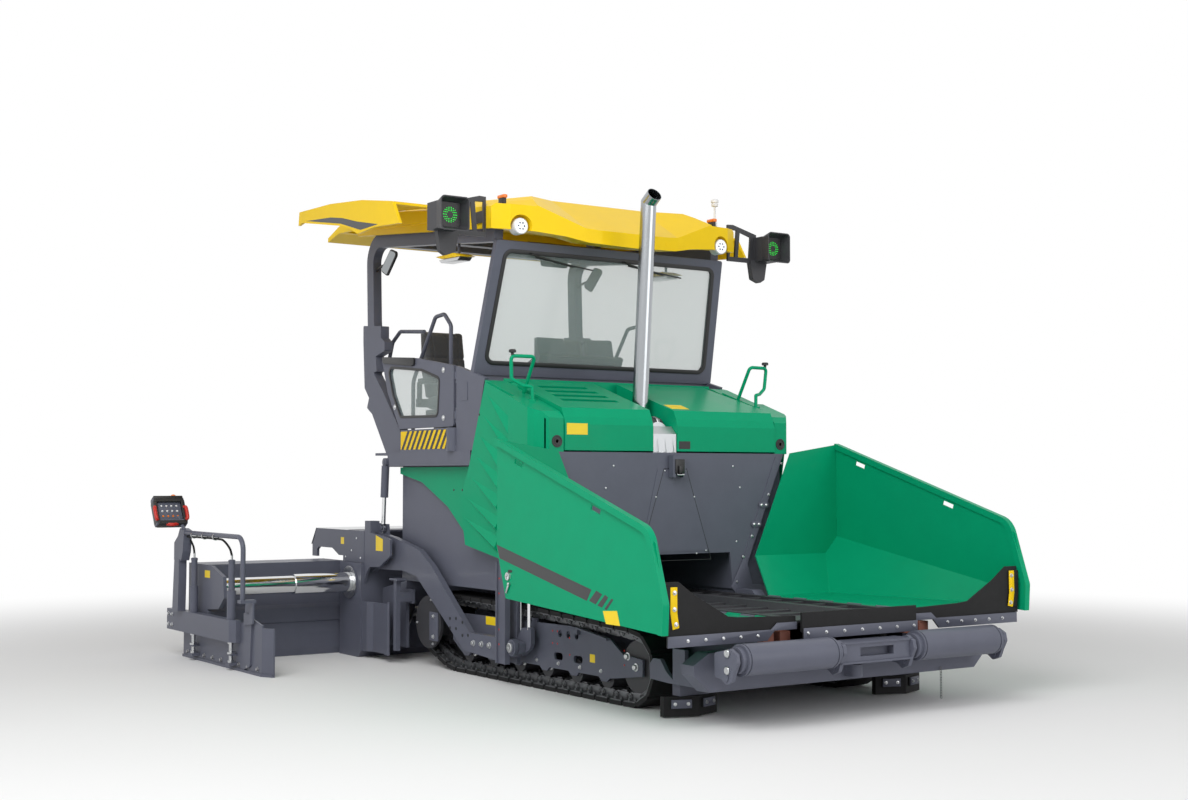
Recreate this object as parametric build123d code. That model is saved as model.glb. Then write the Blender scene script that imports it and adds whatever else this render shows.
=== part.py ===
"""Crawler asphalt paver with a telescoping screed, in millimetres.

Outlines are drawn from a datum plane through the middle of the tracks: X forward, Y to the
machine's left, Z up from the ground. The origin of the finished part lies ORIGIN_OFFSET ahead of
or behind that datum, midway along the whole machine. What stands on both sides is drawn on the
left (+Y) and mirrored, and is named _left and _right.
"""
from build123d import *
import math
import os

os.makedirs("parts", exist_ok=True)

# ---------------------------------------------------------------- driving dimensions
FRONT_X = 3050            # front of the push rollers, from the datum
REAR_X = -3260            # rear end of the end gate beams, from the datum
ORIGIN_OFFSET = -(FRONT_X + REAR_X) / 2

GAP = 6                   # clearance between pieces that move past each other
SEAT = 0.3                # clearance where a piece only rests on another
RUNNING = 0.05            # radial clearance of a pin in its bore

# tracks
TRACK_Y = 920             # middle of a track
TRACK_WIDTH = 305
SHOE_COUNT = 44
PAD_BEVEL = 12            # bevelled edges of a rubber pad
SHOE_GAP = 12
PAD_THICK = 30
LINK_DEPTH = 55
RAIL_IN, RAIL_OUT = 45, 75        # link rails, either side of the track's middle
ROLLER_RADIUS = 85
ROLLER_COUNT = 6
# name: x, z, radius of the loop's outer face round it
LOOP = {
    "sprocket": (-1120, 372, 250),
    "carrier": (400, 483, 120),
    "idler": (1710, 270, 270),
    "rear": (-800, 120, 120),
}

# body
BODY_HALF = 1080          # half width of the body above the tracks
BODY_REAR, BODY_FRONT = -1650, 800
BODY_LOW, BODY_TOP = 690, 1760
SHEET = 20                # thickness of welded body plates
CHASSIS_HALF = 700        # outer face of the chassis walls, inside the tracks
TUNNEL_HALF = 580
DECK_TOP = 640            # conveyor deck
TUNNEL_TOP = 980

# hopper
WING_HALF = 1620          # inner face of the wing's side plate
WING_PLATE = 12
WING_FLOOR = 655          # top of the wing's floor
WING_BACK = 870           # front face of the wing's rear plate
WING_TOP_REAR, WING_TOP_FRONT = 1850, 1241
CREASE_REAR = 1085        # height of the fold between side plate and sloping side, at the rear
CREASE_FALL = 0.18        # how it drops for each unit forward
SLOPE = 1.1               # rise of the sloping side for each unit outward
REAR_FOLD = 950           # height of the fold at the foot of the rear plate
FLOOR_REAR = 1150         # rear edge of the wing's floor
WING_NOSE = 2765
HINGE_Y, HINGE_Z = 620, 640       # axis the wing folds about
HINGE_PIN = 14
KNUCKLE = 24
RIM = 45

# hood
LID_FRONT, LID_REAR = 800, -20
LID_LOW, LID_HIGH, LID_BACK_TOP = 1772, 2090, 2330
LID_OUT = BODY_HALF - 65  # seam between the lid and the side cap
CAP_HALF = BODY_HALF + 170
CAP_INNER_HALF = BODY_HALF + 108  # outer face of the cap behind the side panel's edge
CAP_CORNER = 374          # where the cap steps out to its full width
GAP_RIGHT, GAP_LEFT = -200, 20    # slot for the exhaust between the lids
LID_LEFT, LID_RIGHT = (GAP_LEFT + GAP, LID_OUT), (-LID_OUT, GAP_RIGHT - GAP)
SIDE_OUT = BODY_HALF + 125        # outer face of the side panel
HOOD_BACK = (-75, -60)    # wall behind the lids
LID_PIVOT_X, LID_PIVOT_Z = -32, 2318

# operator's platform
DECK_LEVEL = BODY_TOP + 22        # top of the operator's floor
PLATFORM_HALF = BODY_HALF + 110
PLATFORM_REAR = -1700
POST_Y = BODY_HALF
ROOF_HALF = BODY_HALF + 130

# screed
TOW_X, TOW_Z = 370, 298   # pivot of the tow arms
COLUMN = (165, 305)       # rear and front face of a levelling column
ARM_IN, ARM_OUT = BODY_HALF + 50, BODY_HALF + 100
BASE_HALF = ARM_OUT + 95
BASE_FRONT, BASE_REAR = -2050, -2480
EXT_FRONT, EXT_REAR = -2520, -3000
EXT_IN, EXT_OUT = BASE_HALF - 75, 2480
EXT_TOP = 820
EXT_BRACKET = 30          # thickness of the plate that holds the inner tube
TUBE_X, TUBE_Z = -2265, 645
TUBE_RADII = (100, 88, 75)        # outer faces of housing, middle stage and inner stage
TUBE_FIT = 1.0
TUBE_LENGTH = 1200
AUGER_X, AUGER_Z = -1812, 400
AUGER_RADIUS, AUGER_SHAFT = 178, 45
AUGER_PITCH = 300
LIFT_Y = ARM_OUT - 10     # middle plane of the lift cylinders
DECK_FRONT = WING_NOSE - 30       # front edge of the conveyor deck
LIFT_TOP, LIFT_EYE = (-1800, 1700), (-1840, 1135)
LIFT_PIN, LIFT_DRIFT = 16, 8

# push bar
PUSH_PIVOT_X = WING_NOSE + 15
PUSH_AXIS_X, PUSH_AXIS_Z = PUSH_PIVOT_X + 170, 445
PLOUGH_HEIGHT = 128
MEMBER_FACES = (WING_NOSE - 165, WING_NOSE - 40)  # rear and front face of the front member
PUSH_RADIUS = 100


# ---------------------------------------------------------------- helpers
def block(x, y, z):
    """Box between pairs of limits."""
    size = [abs(pair[1] - pair[0]) for pair in (x, y, z)]
    middle = [(pair[0] + pair[1]) / 2 for pair in (x, y, z)]
    return Pos(*middle) * Box(*size)


def prism(axis, outline, low, high, corner=0.0, only=None):
    """Solid with an outline of two-coordinate points, from low to high along axis.

    corner rounds every corner, or those whose indices are in only.
    """
    lift = {
        "x": lambda a, b: (low, a, b),
        "y": lambda a, b: (a, low, b),
        "z": lambda a, b: (a, b, low),
    }[axis]
    way = {"x": (1, 0, 0), "y": (0, 1, 0), "z": (0, 0, 1)}[axis]
    face = Face(Wire.make_polygon([Vector(*lift(a, b)) for a, b in outline], close=True))
    if corner:
        chosen = [Vector(*lift(*outline[index])) for index in only or range(len(outline))]
        corners = [v for v in face.vertices() if any((v.center() - c).length < 0.01 for c in chosen)]
        face = face.fillet_2d(corner, corners)
    return extrude(face, amount=high - low, dir=way)


def rod(start, end, radius, bore=0.0):
    """Round bar or tube between two points."""
    start, end = Vector(*start), Vector(*end)
    plane = Plane(origin=start, z_dir=end - start)
    length = (end - start).length
    solid = extrude(plane * Circle(radius), amount=length)
    if bore:
        solid -= extrude(plane * Circle(bore), amount=length)
    return solid


def pipe(points, bend, radius):
    """Round tube along straight runs, with one bend radius or a list of them."""
    path = FilletPolyline(*points, radius=bend)
    plane = Plane(origin=path @ 0, z_dir=path % 0)
    return sweep(plane * Circle(radius), path=path)


def bent_bar(points, bend, depth, low, high):
    """Flat bar bent in the XZ plane: depth is measured in that plane, low to high is along Y."""
    path = FilletPolyline(*[(x, (low + high) / 2, z) for x, z in points], radius=bend)
    plane = Plane(origin=path @ 0, x_dir=(0, 1, 0), z_dir=path % 0)
    return sweep(plane * Rectangle(high - low, depth), path=path)


def panel(points, thickness, inward):
    """Flat plate through points, thickened towards the side that inward points to."""
    face = Face(Wire.make_polygon([Vector(*point) for point in points], close=True))
    normal = face.normal_at()
    if normal.dot(Vector(*inward)) < 0:
        normal = normal * -1
    return extrude(face, amount=thickness, dir=normal)


def wedge(points, faces):
    """Solid bounded by flat faces, each a list of indices into points."""
    sides = []
    for face in faces:
        corners = [Vector(*points[index]) for index in face]
        sides.append(Face(Wire.make_polygon(corners, close=True)))
    return Solid(Shell(sides))


def join(solids):
    """Fuse a list of solids into one."""
    solids = list(solids)
    return solids[0].fuse(*solids[1:]) if len(solids) > 1 else solids[0]


def all_solids(pieces):
    """Every solid in a list of shapes, moved from the datum to the part's origin."""
    placed = []
    for piece in pieces:
        for solid in piece.solids():
            placed.append(Pos(ORIGIN_OFFSET, 0, 0) * solid)
    return placed


def save(name, *pieces):
    """Write one node, as one solid or several that stay apart."""
    solids = all_solids(pieces)
    shape = solids[0] if len(solids) == 1 else Compound(children=solids)
    export_step(shape, "parts/" + name + ".step")


def save_both(name, *pieces):
    """Write one node holding the pieces and their mirror images."""
    save(name, *pieces, *[mirror(piece, about=Plane.XZ) for piece in pieces])


def save_pair(name, *pieces):
    """Write a node and its mirror image across the machine's middle plane."""
    save(name + "_left", *pieces)
    save(name + "_right", *[mirror(piece, about=Plane.XZ) for piece in pieces])


# ---------------------------------------------------------------- tracks
def loop_outline(inset):
    """Points where the straight runs leave and meet each wheel, clockwise seen from the right."""
    wheels = [(x, z, radius - inset) for x, z, radius in LOOP.values()]
    spans = []
    for first, second in zip(wheels, wheels[1:] + wheels[:1]):
        step = Vector(second[0] - first[0], second[1] - first[1])
        along = step.normalized()
        lean = (first[2] - second[2]) / step.length
        side = math.sqrt(1 - lean * lean)
        out = (lean * along.X - side * along.Y, lean * along.Y + side * along.X)
        spans.append((
            (first[0] + first[2] * out[0], first[1] + first[2] * out[1]),
            (second[0] + second[2] * out[0], second[1] + second[2] * out[1]),
        ))
    return spans


def loop_solid(inset, low, high):
    """Filled loop, set in from the shoes' outer faces, from low to high along Y."""
    corners = [point for span in loop_outline(inset) for point in span]
    solids = [prism("y", corners, low, high)]
    for x, z, radius in LOOP.values():
        solids.append(rod((x, low, z), (x, high, z), radius - inset))
    return join(solids)


def loop_points(count):
    """Points spaced evenly round the loop's outer face."""
    spans = loop_outline(0)
    pieces = []
    for index, (x, z, radius) in enumerate(LOOP.values()):
        arrive, leave = spans[index - 1][1], spans[index][0]
        begin = math.atan2(arrive[1] - z, arrive[0] - x)
        turn = (begin - math.atan2(leave[1] - z, leave[0] - x)) % (2 * math.pi)
        pieces.append(("arc", (x, z, radius, begin), radius * turn))
        start, end = spans[index]
        pieces.append(("run", (start, end), math.dist(start, end)))
    pitch = sum(piece[2] for piece in pieces) / count
    points = []
    for step in range(count):
        distance = step * pitch
        for kind, shape, length in pieces:
            if distance < length:
                break
            distance -= length
        if kind == "arc":
            x, z, radius, begin = shape
            angle = begin - distance / radius
            points.append((x + radius * math.cos(angle), z + radius * math.sin(angle)))
        else:
            share = distance / length
            start, end = shape
            points.append(tuple(a + (b - a) * share for a, b in zip(start, end)))
    return points


def track():
    """One track: bevelled rubber pads on a pair of link rails."""
    points = loop_points(SHOE_COUNT)
    solids = []
    for start, end in zip(points, points[1:] + points[:1]):
        half = (math.dist(start, end) - SHOE_GAP) / 2
        slope = math.degrees(math.atan2(end[1] - start[1], end[0] - start[0]))
        middle = ((start[0] + end[0]) / 2, TRACK_Y, (start[1] + end[1]) / 2)
        pad = prism("y", [(-half, -PAD_THICK), (-half, -PAD_BEVEL), (PAD_BEVEL - half, 0),
                          (half - PAD_BEVEL, 0), (half, -PAD_BEVEL), (half, -PAD_THICK)],
                    -TRACK_WIDTH / 2, TRACK_WIDTH / 2)
        solids.append(Pos(*middle) * Rot(0, -slope, 0) * pad)
    for side in (-1, 1):
        low, high = sorted((TRACK_Y + side * RAIL_IN, TRACK_Y + side * RAIL_OUT))
        outer = loop_solid(PAD_THICK - 6, low, high)
        inner = loop_solid(PAD_THICK + LINK_DEPTH, low - 1, high + 1)
        solids.append(outer - inner)
    return join(solids)


TRACK_INNER = PAD_THICK + LINK_DEPTH + 1
FRAME_PLATES = (95, 113)          # side plates of a track frame, from the track's middle
ROLLER_Z = TRACK_INNER + ROLLER_RADIUS
ROLLER_SPAN = (-620, 1330)


def roller_places():
    first, last = ROLLER_SPAN
    return [first + (last - first) * index / (ROLLER_COUNT - 1) for index in range(ROLLER_COUNT)]


def track_frame():
    """Side plates, top plate, cross ties to the chassis and the tensioner's guard."""
    outline = [(-840, 250), (-840, 470), (900, 490), (1400, 440), (1560, 345), (1790, 330),
               (1790, 215), (1420, 165), (-700, 165)]
    plates = []
    for side in (-1, 1):
        low, high = sorted((TRACK_Y + side * FRAME_PLATES[0], TRACK_Y + side * FRAME_PLATES[1]))
        plate = prism("y", outline, low, high)
        for x in roller_places():
            tab = [(x - 70, 166), (x + 70, 166), (x + 34, ROLLER_Z - 34), (x - 34, ROLLER_Z - 34)]
            plate += prism("y", tab, low, high)
        carrier_x, carrier_z = LOOP["carrier"][:2]
        plate += block((carrier_x - 40, carrier_x + 40), (low, high), (460, carrier_z + 29))
        for x in (760, 870, 980):
            plate -= rod((x, low - 1, 425), (x, high + 1, 425), 26)
        for x in (740, 1000):
            slot = prism("y", [(x - 58, 230), (x + 58, 230), (x + 58, 284), (x - 58, 284)],
                         low - 1, high + 1, corner=24)
            plate -= slot
        plates.append(plate)
    outer_face = TRACK_Y + FRAME_PLATES[1]
    guard = prism("y", [(1010, 492), (1010, 440), (1030, 440), (1030, 478), (1400, 428), (1400, 444)],
                  outer_face - 1, outer_face + 30)
    top = block((-840, 900), (TRACK_Y - FRAME_PLATES[0], TRACK_Y + FRAME_PLATES[0]), (424, 440))
    ties = [block((x, x + 160), (CHASSIS_HALF, TRACK_Y - FRAME_PLATES[1]), (250, 430))
            for x in (-640, 120, 1100)]
    return join(plates + [guard, top] + ties)


def running_gear():
    """Sprocket with its hub and cover, idler and rollers, each on its axle."""
    solids = []
    x, z, radius = LOOP["sprocket"]
    root = radius - TRACK_INNER
    drive = rod((x, CHASSIS_HALF, z), (x, TRACK_Y - 30, z), 125)
    drive += rod((x, TRACK_Y - 30, z), (x, TRACK_Y + 30, z), root)
    teeth = 11
    for index in range(teeth):
        tooth = prism("y", [(0, -30), (root + 38, -12), (root + 38, 12), (0, 30)],
                      TRACK_Y - 28, TRACK_Y + 28)
        drive += Pos(x, 0, z) * Rot(0, 360 * index / teeth, 0) * tooth
    drive += rod((x, TRACK_Y + 30, z), (x, 1086, z), 118)
    drive += rod((x, 1086, z), (x, 1112, z), 215)
    solids.append(drive)
    x, z, radius = LOOP["idler"]
    idler = rod((x, TRACK_Y - 85, z), (x, TRACK_Y + 85, z), radius - TRACK_INNER)
    idler += rod((x, TRACK_Y - 42, z), (x, TRACK_Y + 42, z), radius - TRACK_INNER + 22)
    idler -= rod((x, TRACK_Y - 90, z), (x, TRACK_Y + 90, z), 40)
    solids.append(idler)
    solids.append(rod((x, TRACK_Y - FRAME_PLATES[0], z), (x, TRACK_Y + FRAME_PLATES[0], z), 40 - SEAT))
    for x in roller_places():
        roller = rod((x, TRACK_Y - 84, ROLLER_Z), (x, TRACK_Y + 84, ROLLER_Z), ROLLER_RADIUS)
        roller += rod((x, TRACK_Y - 94.7, ROLLER_Z), (x, TRACK_Y + 94.7, ROLLER_Z), 34)
        solids.append(roller)
    x, z, radius = LOOP["carrier"]
    carrier = rod((x, TRACK_Y - 80, z), (x, TRACK_Y + 80, z), radius - TRACK_INNER)
    carrier += rod((x, TRACK_Y - 94.7, z), (x, TRACK_Y + 94.7, z), 20)
    solids.append(carrier)
    return solids


save_pair("track", track())
save_both("track_frames", track_frame())
save_both("running_gear", *running_gear())


# ---------------------------------------------------------------- chassis
def chassis_frame():
    """Two long walls, the floor below the conveyor, the tunnel roof and the front cross member."""
    nose = MEMBER_FACES[0] + 20
    wall = prism("y", [(-1600, 330), (-1600, BODY_LOW), (1000, BODY_LOW), (1100, 600),
                       (nose, 600), (nose, 240), (-1500, 240)], TUNNEL_HALF + 20, CHASSIS_HALF)
    solids = [wall, mirror(wall, about=Plane.XZ)]
    solids.append(block((-1500, nose), (-TUNNEL_HALF - 20, TUNNEL_HALF + 20), (240, 260)))
    solids.append(front_member())
    solids += [wing_hinge(), mirror(wing_hinge(), about=Plane.XZ)]
    return join(solids)


def front_member():
    """Box across the front that carries the ploughs and the push bar, with its side arms."""
    rear, front = MEMBER_FACES
    outline = [(-1320, 340), (-1320, 400), (-1200, 470), (1200, 470), (1320, 400), (1320, 340),
               (1200, 225), (-1200, 225)]
    solids = [prism("x", outline, rear, front)]
    # side plate of an arm: x, z
    arm_side = [(rear - 595, 235), (rear - 600, 330), (rear - 560, 372), (rear - 480, 372),
                (rear - 420, 300), (rear - 345, 250), (rear - 345, 455), (rear - 215, 455),
                (rear - 215, 300), (rear + 5, 300), (rear + 5, 225), (rear - 400, 225)]
    for side in (-1, 1):
        low, high = sorted((side * (PLOUGH_MIDDLE + 145), side * (PLOUGH_MIDDLE + 175)))
        solids.append(prism("y", arm_side, low, high))
        low, high = sorted((side * CHASSIS_HALF, side * (PLOUGH_MIDDLE + 146)))
        solids.append(block((rear - 420, rear + 5), (low, high), (225, 262)))
        solids.append(block((rear - 130, rear + 5), (low, high), (262, 400)))
        low, high = sorted((side * (PLOUGH_MIDDLE - 120), side * (PLOUGH_MIDDLE + 120)))
        solids.append(block((rear - 420, rear - 340), (low, high), (PLOUGH_HEIGHT + 12 + SEAT, 230)))
    boss_low, boss_high = PUSH_BOSS[0] - GAP, PUSH_BOSS[1] + 15
    solids.append(rod((PUSH_PIVOT_X, 0, 250), (PUSH_PIVOT_X, 0, boss_low), 45))
    solids.append(block((front, PUSH_PIVOT_X), (-45, 45), (250, boss_low)))
    solids.append(rod((PUSH_PIVOT_X, 0, boss_low), (PUSH_PIVOT_X, 0, boss_high), 20))
    return join(solids)


PUSH_BOSS = (336, 425)    # lower and upper face of the push bar's boss
PLOUGH_MIDDLE = TRACK_Y + 33
PLOUGH_HALF, PLOUGH_SWEEP = 222, 82


def plough():
    """Rubber scraper bent to a V ahead of the track, on its steel carrier with clamp plates."""
    apex = MEMBER_FACES[0] - 300
    thick = 38

    def vee(front, back, half, low, high):
        """V-shaped bar between two offsets behind the apex."""
        fall = PLOUGH_SWEEP * half / PLOUGH_HALF
        middle = PLOUGH_MIDDLE
        return prism("z", [(apex - front, middle), (apex - front - fall, middle + half),
                           (apex - back - fall, middle + half), (apex - back, middle),
                           (apex - back - fall, middle - half), (apex - front - fall, middle - half)],
                     low, high)

    rubber = vee(0, thick, PLOUGH_HALF, 8, PLOUGH_HEIGHT + 12)
    backing = vee(thick, thick + 14, PLOUGH_HALF - 20, 60, PLOUGH_HEIGHT + 12)
    clamps = []
    for side in (-1, 1):
        near, far = 40, PLOUGH_HALF - 45
        slope = PLOUGH_SWEEP / PLOUGH_HALF
        middle = PLOUGH_MIDDLE
        clamps.append(prism("z", [(apex - near * slope, middle + side * near),
                                  (apex - far * slope, middle + side * far),
                                  (apex - far * slope + 10, middle + side * far),
                                  (apex - near * slope + 10, middle + side * near)], 62, 122))
    return join([rubber, backing] + clamps)


def conveyor_deck():
    """Deck plate, chain guards and cross bars of the twin conveyors."""
    half = TUNNEL_HALF + 20
    deck = block((-1560, MEMBER_FACES[0]), (-half, half), (DECK_TOP - 50, DECK_TOP - 16))
    deck += block((-1560, DECK_FRONT), (-TUNNEL_HALF + 12, TUNNEL_HALF - 12), (DECK_TOP - 16, DECK_TOP))
    ridge = prism("x", [(-60, DECK_TOP), (-28, DECK_TOP + 50), (28, DECK_TOP + 50), (60, DECK_TOP)],
                  -1500, DECK_FRONT - 35)
    guards = [block((-1500, DECK_FRONT - 35), pair, (DECK_TOP, DECK_TOP + 22))
              for pair in ((-568, -500), (500, 568))]
    bars = []
    pitch = 240
    for index in range(int((DECK_FRONT + 1440) // pitch)):
        x = -1440 + index * pitch
        for low, high in ((-500, -60), (60, 500)):
            bars.append(block((x, x + 40), (low, high), (DECK_TOP, DECK_TOP + 14)))
    return join([deck, ridge] + guards + bars)


def hinge_segments(kind):
    """Spans along X of the wing hinge's knuckles: chassis ones and wing ones take turns."""
    start, end, count = FLOOR_REAR + 30, WING_NOSE - 125, 10
    pitch = (end - start) / count
    offset = 0 if kind == "chassis" else 1
    return [(start + index * pitch + GAP / 2, start + (index + 1) * pitch - GAP / 2)
            for index in range(offset, count, 2)]


def wing_hinge():
    """Pin and chassis knuckles along one side of the conveyor."""
    ends = (FLOOR_REAR + 20, WING_NOSE - 115)
    solids = [rod((ends[0], HINGE_Y, HINGE_Z), (ends[1], HINGE_Y, HINGE_Z), HINGE_PIN)]
    for low, high in hinge_segments("chassis"):
        knuckle = rod((low, HINGE_Y, HINGE_Z), (high, HINGE_Y, HINGE_Z), KNUCKLE)
        knuckle += block((low, high), (HINGE_Y - 12, HINGE_Y + 12), (590, HINGE_Z))
        solids.append(knuckle)
    return join(solids)


save("chassis_frame", chassis_frame())
save("conveyor_deck", conveyor_deck())


# ---------------------------------------------------------------- body
def body_shell():
    """Closed sides, rear wall and floor above the tracks, open over the engine bay."""
    outer = block((BODY_REAR, BODY_FRONT - 20), (-BODY_HALF, BODY_HALF), (BODY_LOW, BODY_TOP))
    inner = block((BODY_REAR + SHEET, BODY_FRONT - 20 - SHEET), (-BODY_HALF + SHEET, BODY_HALF - SHEET),
                  (TUNNEL_TOP + SHEET, BODY_TOP + 1))
    tunnel = block((BODY_REAR - 1, BODY_FRONT), (-TUNNEL_HALF, TUNNEL_HALF),
                   (BODY_LOW - 1, TUNNEL_TOP))
    shell = outer - inner - tunnel
    for side in (-1, 1):
        low, high = sorted((side * (TUNNEL_HALF + SHEET), side * (BODY_HALF - SHEET)))
        shell -= block((BODY_REAR + SHEET, BODY_FRONT - 20 - SHEET), (low, high),
                       (BODY_LOW + SHEET, TUNNEL_TOP + SHEET + 1))
    return shell


def hopper_bulkhead():
    """Wall between the hopper and the engine bay, with the conveyor's mouth and its latched flap."""
    half = BODY_HALF + 25
    face = [(-640, BODY_LOW + 1), (-half, BODY_TOP), (half, BODY_TOP), (640, BODY_LOW + 1),
            (572, BODY_LOW + 1), (545, TUNNEL_TOP), (-545, TUNNEL_TOP), (-572, BODY_LOW + 1)]
    solids = [prism("x", face, BODY_FRONT - 20, BODY_FRONT)]
    for side in (-1, 1):
        strip = [(side * 578, 700), (side * 636, 700), (side * (half - 20), BODY_TOP - 25),
                 (side * (half - 90), BODY_TOP - 25)]
        solids.append(prism("x", strip, BODY_FRONT, BODY_FRONT + 8))
    flap = [(-330, TUNNEL_TOP + 20), (-170, BODY_TOP - 130), (170, BODY_TOP - 130), (330, TUNNEL_TOP + 20)]
    solids.append(prism("x", flap, BODY_FRONT, BODY_FRONT + 5))
    latch = block((BODY_FRONT + 5, BODY_FRONT + 60), (-62, 62), (BODY_TOP - 190, BODY_TOP - 20))
    latch -= block((BODY_FRONT + 15, BODY_FRONT + 61), (-36, 36), (BODY_TOP - 191, BODY_TOP - 50))
    solids.append(latch)
    handle = prism("y", [(BODY_FRONT + 10, BODY_TOP - 70), (BODY_FRONT + 44, BODY_TOP - 90),
                         (BODY_FRONT + 44, BODY_TOP - 150), (BODY_FRONT + 30, BODY_TOP - 150),
                         (BODY_FRONT + 10, BODY_TOP - 100)], -14, 14)
    solids.append(handle)
    return join(solids)


ENGINE = ((-700, 500), (-480, 480), (TUNNEL_TOP + SHEET, 1700))

save("body_shell", body_shell())
save("hopper_bulkhead", hopper_bulkhead())
save("engine_block", block(*ENGINE))


def side_panel():
    """Outer panel beside the engine, with the row of ridged facets along its rear edge."""
    low, high = BODY_HALF, SIDE_OUT
    top = BODY_TOP - SEAT
    outline = [(-45, 2310), (CAP_CORNER, 2172), (CAP_CORNER, top), (700, top), (560, 960),
               (220, 946), (-348, 1039), (-431, 1391), (-290, 1660)]
    plate = prism("y", outline, high - 15, high)
    rib = block((-300, 500), (low, high - 15), (1300, 1320))
    solids = [plate, rib]
    facets = [
        (-25, 2222, 362, 2003, 362, 1851),
        (-75, 2050, 330, 1850, 300, 1775),
        (-130, 1900, 210, 1750, 210, 1610),
        (-190, 1740, 200, 1590, 200, 1450),
        (-260, 1570, 190, 1430, 190, 1290),
        (-330, 1410, 180, 1270, 180, 1140),
        (-380, 1260, 170, 1120, 170, 990),
    ]
    for tip_x, tip_z, top_x, top_z, low_x, low_z in facets:
        points = [(tip_x, high - 1, tip_z), (top_x, high - 1, top_z), (low_x, high - 1, low_z),
                  ((top_x + low_x) / 2, high + 42, low_z + (top_z - low_z) * 0.35)]
        solids.append(wedge(points, [(0, 1, 2), (0, 1, 3), (1, 2, 3), (2, 0, 3)]))
    return join(solids)


def rear_wedge():
    """Tapering green panel under the platform rail."""
    outline = [(-1640, 1655), (-300, 1655), (-440, 1395), (-360, 1045), (-470, 1090), (-800, 1330),
               (-1250, 1530), (-1640, 1600)]
    return prism("y", outline, BODY_HALF, BODY_HALF + 30)


save_both("side_panels", side_panel(), rear_wedge())


# ---------------------------------------------------------------- hood
HOOD_SIDE = [(LID_FRONT, LID_LOW), (LID_FRONT, 1965), (LID_FRONT - 18, 2020), (LID_FRONT - 52, LID_HIGH),
             (LID_REAR, LID_BACK_TOP), (LID_REAR, LID_LOW)]


def hood_lid(low, high, outer):
    """Shell with a folded front face and a rising top, hinged at its rear upper edge.

    outer is the side, low or high, whose upper edge is cut back by a long wedge.
    """
    shell = prism("y", HOOD_SIDE, low, high)
    inner_side = [(LID_FRONT - 18, LID_LOW - 1), (LID_FRONT - 18, 1960), (LID_FRONT - 72, LID_HIGH - 24),
                  (LID_REAR - 1, LID_BACK_TOP - 40), (LID_REAR - 1, LID_LOW - 1)]
    inner = prism("y", inner_side, low + 18, high - 18)
    edge, way = (high, -1) if outer == "high" else (low, 1)
    x, z = LID_REAR - 1, LID_BACK_TOP
    points = [(x, edge + way * 95, z + 1), (x, edge - way, z - 34), (x, edge - way, z + 9),
              (LID_FRONT - 90, edge + way * 4, LID_HIGH + 14)]
    bevel = wedge(points, [(0, 1, 2), (0, 1, 3), (1, 2, 3), (2, 0, 3)])
    lid = shell - inner - bevel
    for y, end in lid_ears(low, high):
        lid += rod((LID_PIVOT_X, y, LID_PIVOT_Z), (LID_PIVOT_X, end, LID_PIVOT_Z), 11, 7 + RUNNING)
        lid += block((LID_PIVOT_X + 9, LID_REAR + 2), (y, end), (LID_PIVOT_Z - 6, LID_PIVOT_Z + 6))
    return lid


def louvres(lid):
    """Four slots through the top of the right-hand lid."""
    slope = math.atan2(LID_BACK_TOP - LID_HIGH, LID_FRONT - 52 - LID_REAR)
    for index in range(4):
        x = 150 + index * 125
        z = LID_BACK_TOP - (x - LID_REAR) * math.tan(slope)
        slot = Pos(x, (LID_RIGHT[0] + LID_RIGHT[1]) / 2, z) * Rot(0, math.degrees(slope), 0)
        lid -= slot * Box(62, 460 + index * 20, 110)
    return lid


def hood_cap():
    """Corner box beside the lid, stepping out ahead of the side panel."""
    low = BODY_TOP
    rear = HOOD_BACK[0]
    front = LID_FRONT - 10
    side = [(front, low), (front, 2010), (front - 50, 2060), (LID_REAR, 2318), (rear, 2328), (rear, low)]
    cap = prism("y", side, LID_OUT + GAP, CAP_INNER_HALF)
    corner_side = [(front, low), (front, 2010), (front - 50, 2060), (CAP_CORNER + 2, 2184),
                   (CAP_CORNER + 2, low)]
    cap += prism("y", corner_side, CAP_INNER_HALF, CAP_HALF)
    cut = prism("z", [(front + 10, CAP_HALF - 110), (front + 10, CAP_HALF + 10),
                      (front - 160, CAP_HALF + 10), (front - 92, CAP_HALF - 25)], low, 2400)
    hollow = prism("y", [(front - 20, low - 1), (front - 20, 2000), (front - 60, 2040), (LID_REAR, 2298),
                         (rear + 15, 2305), (rear + 15, low - 1)], LID_OUT + GAP + 15, CAP_INNER_HALF - 15)
    return cap - cut - hollow


def cap_top(x):
    """Height of the side cap's sloping top."""
    share = (x - LID_REAR) / (LID_FRONT - 60 - LID_REAR)
    return 2318 + (2060 - 2318) * share


def hood_handle():
    """Bent grab tube on the side cap, with its round collar."""
    out, inner = CAP_HALF + 2, BODY_HALF - 24
    foot = (470, BODY_HALF + 16)
    tube = pipe([(274, inner, cap_top(274) - 20), (444, inner, 2483), (420, out, 2483), (408, out - 12, 2310),
                 (440, out - 90, 2262), (*foot, 2250), (foot[0] + 4, foot[1] - 4, cap_top(foot[0]) - 20)],
                [30, 30, 30, 24, 8], 14)
    collar = rod((*foot, cap_top(foot[0]) - 20), (*foot, cap_top(foot[0]) + 4), 34)
    surface = [(x, cap_top(x) + SEAT) for x in (0, 700)]
    return tube + collar - prism("y", surface + [(700, 1900), (0, 1900)], LID_OUT, CAP_HALF)


def lid_ears(low, high):
    """Y spans of the two hinge ears of a lid that reaches from low to high."""
    return [(y, y + 50) for y in (low + 120, high - 170)]


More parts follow.
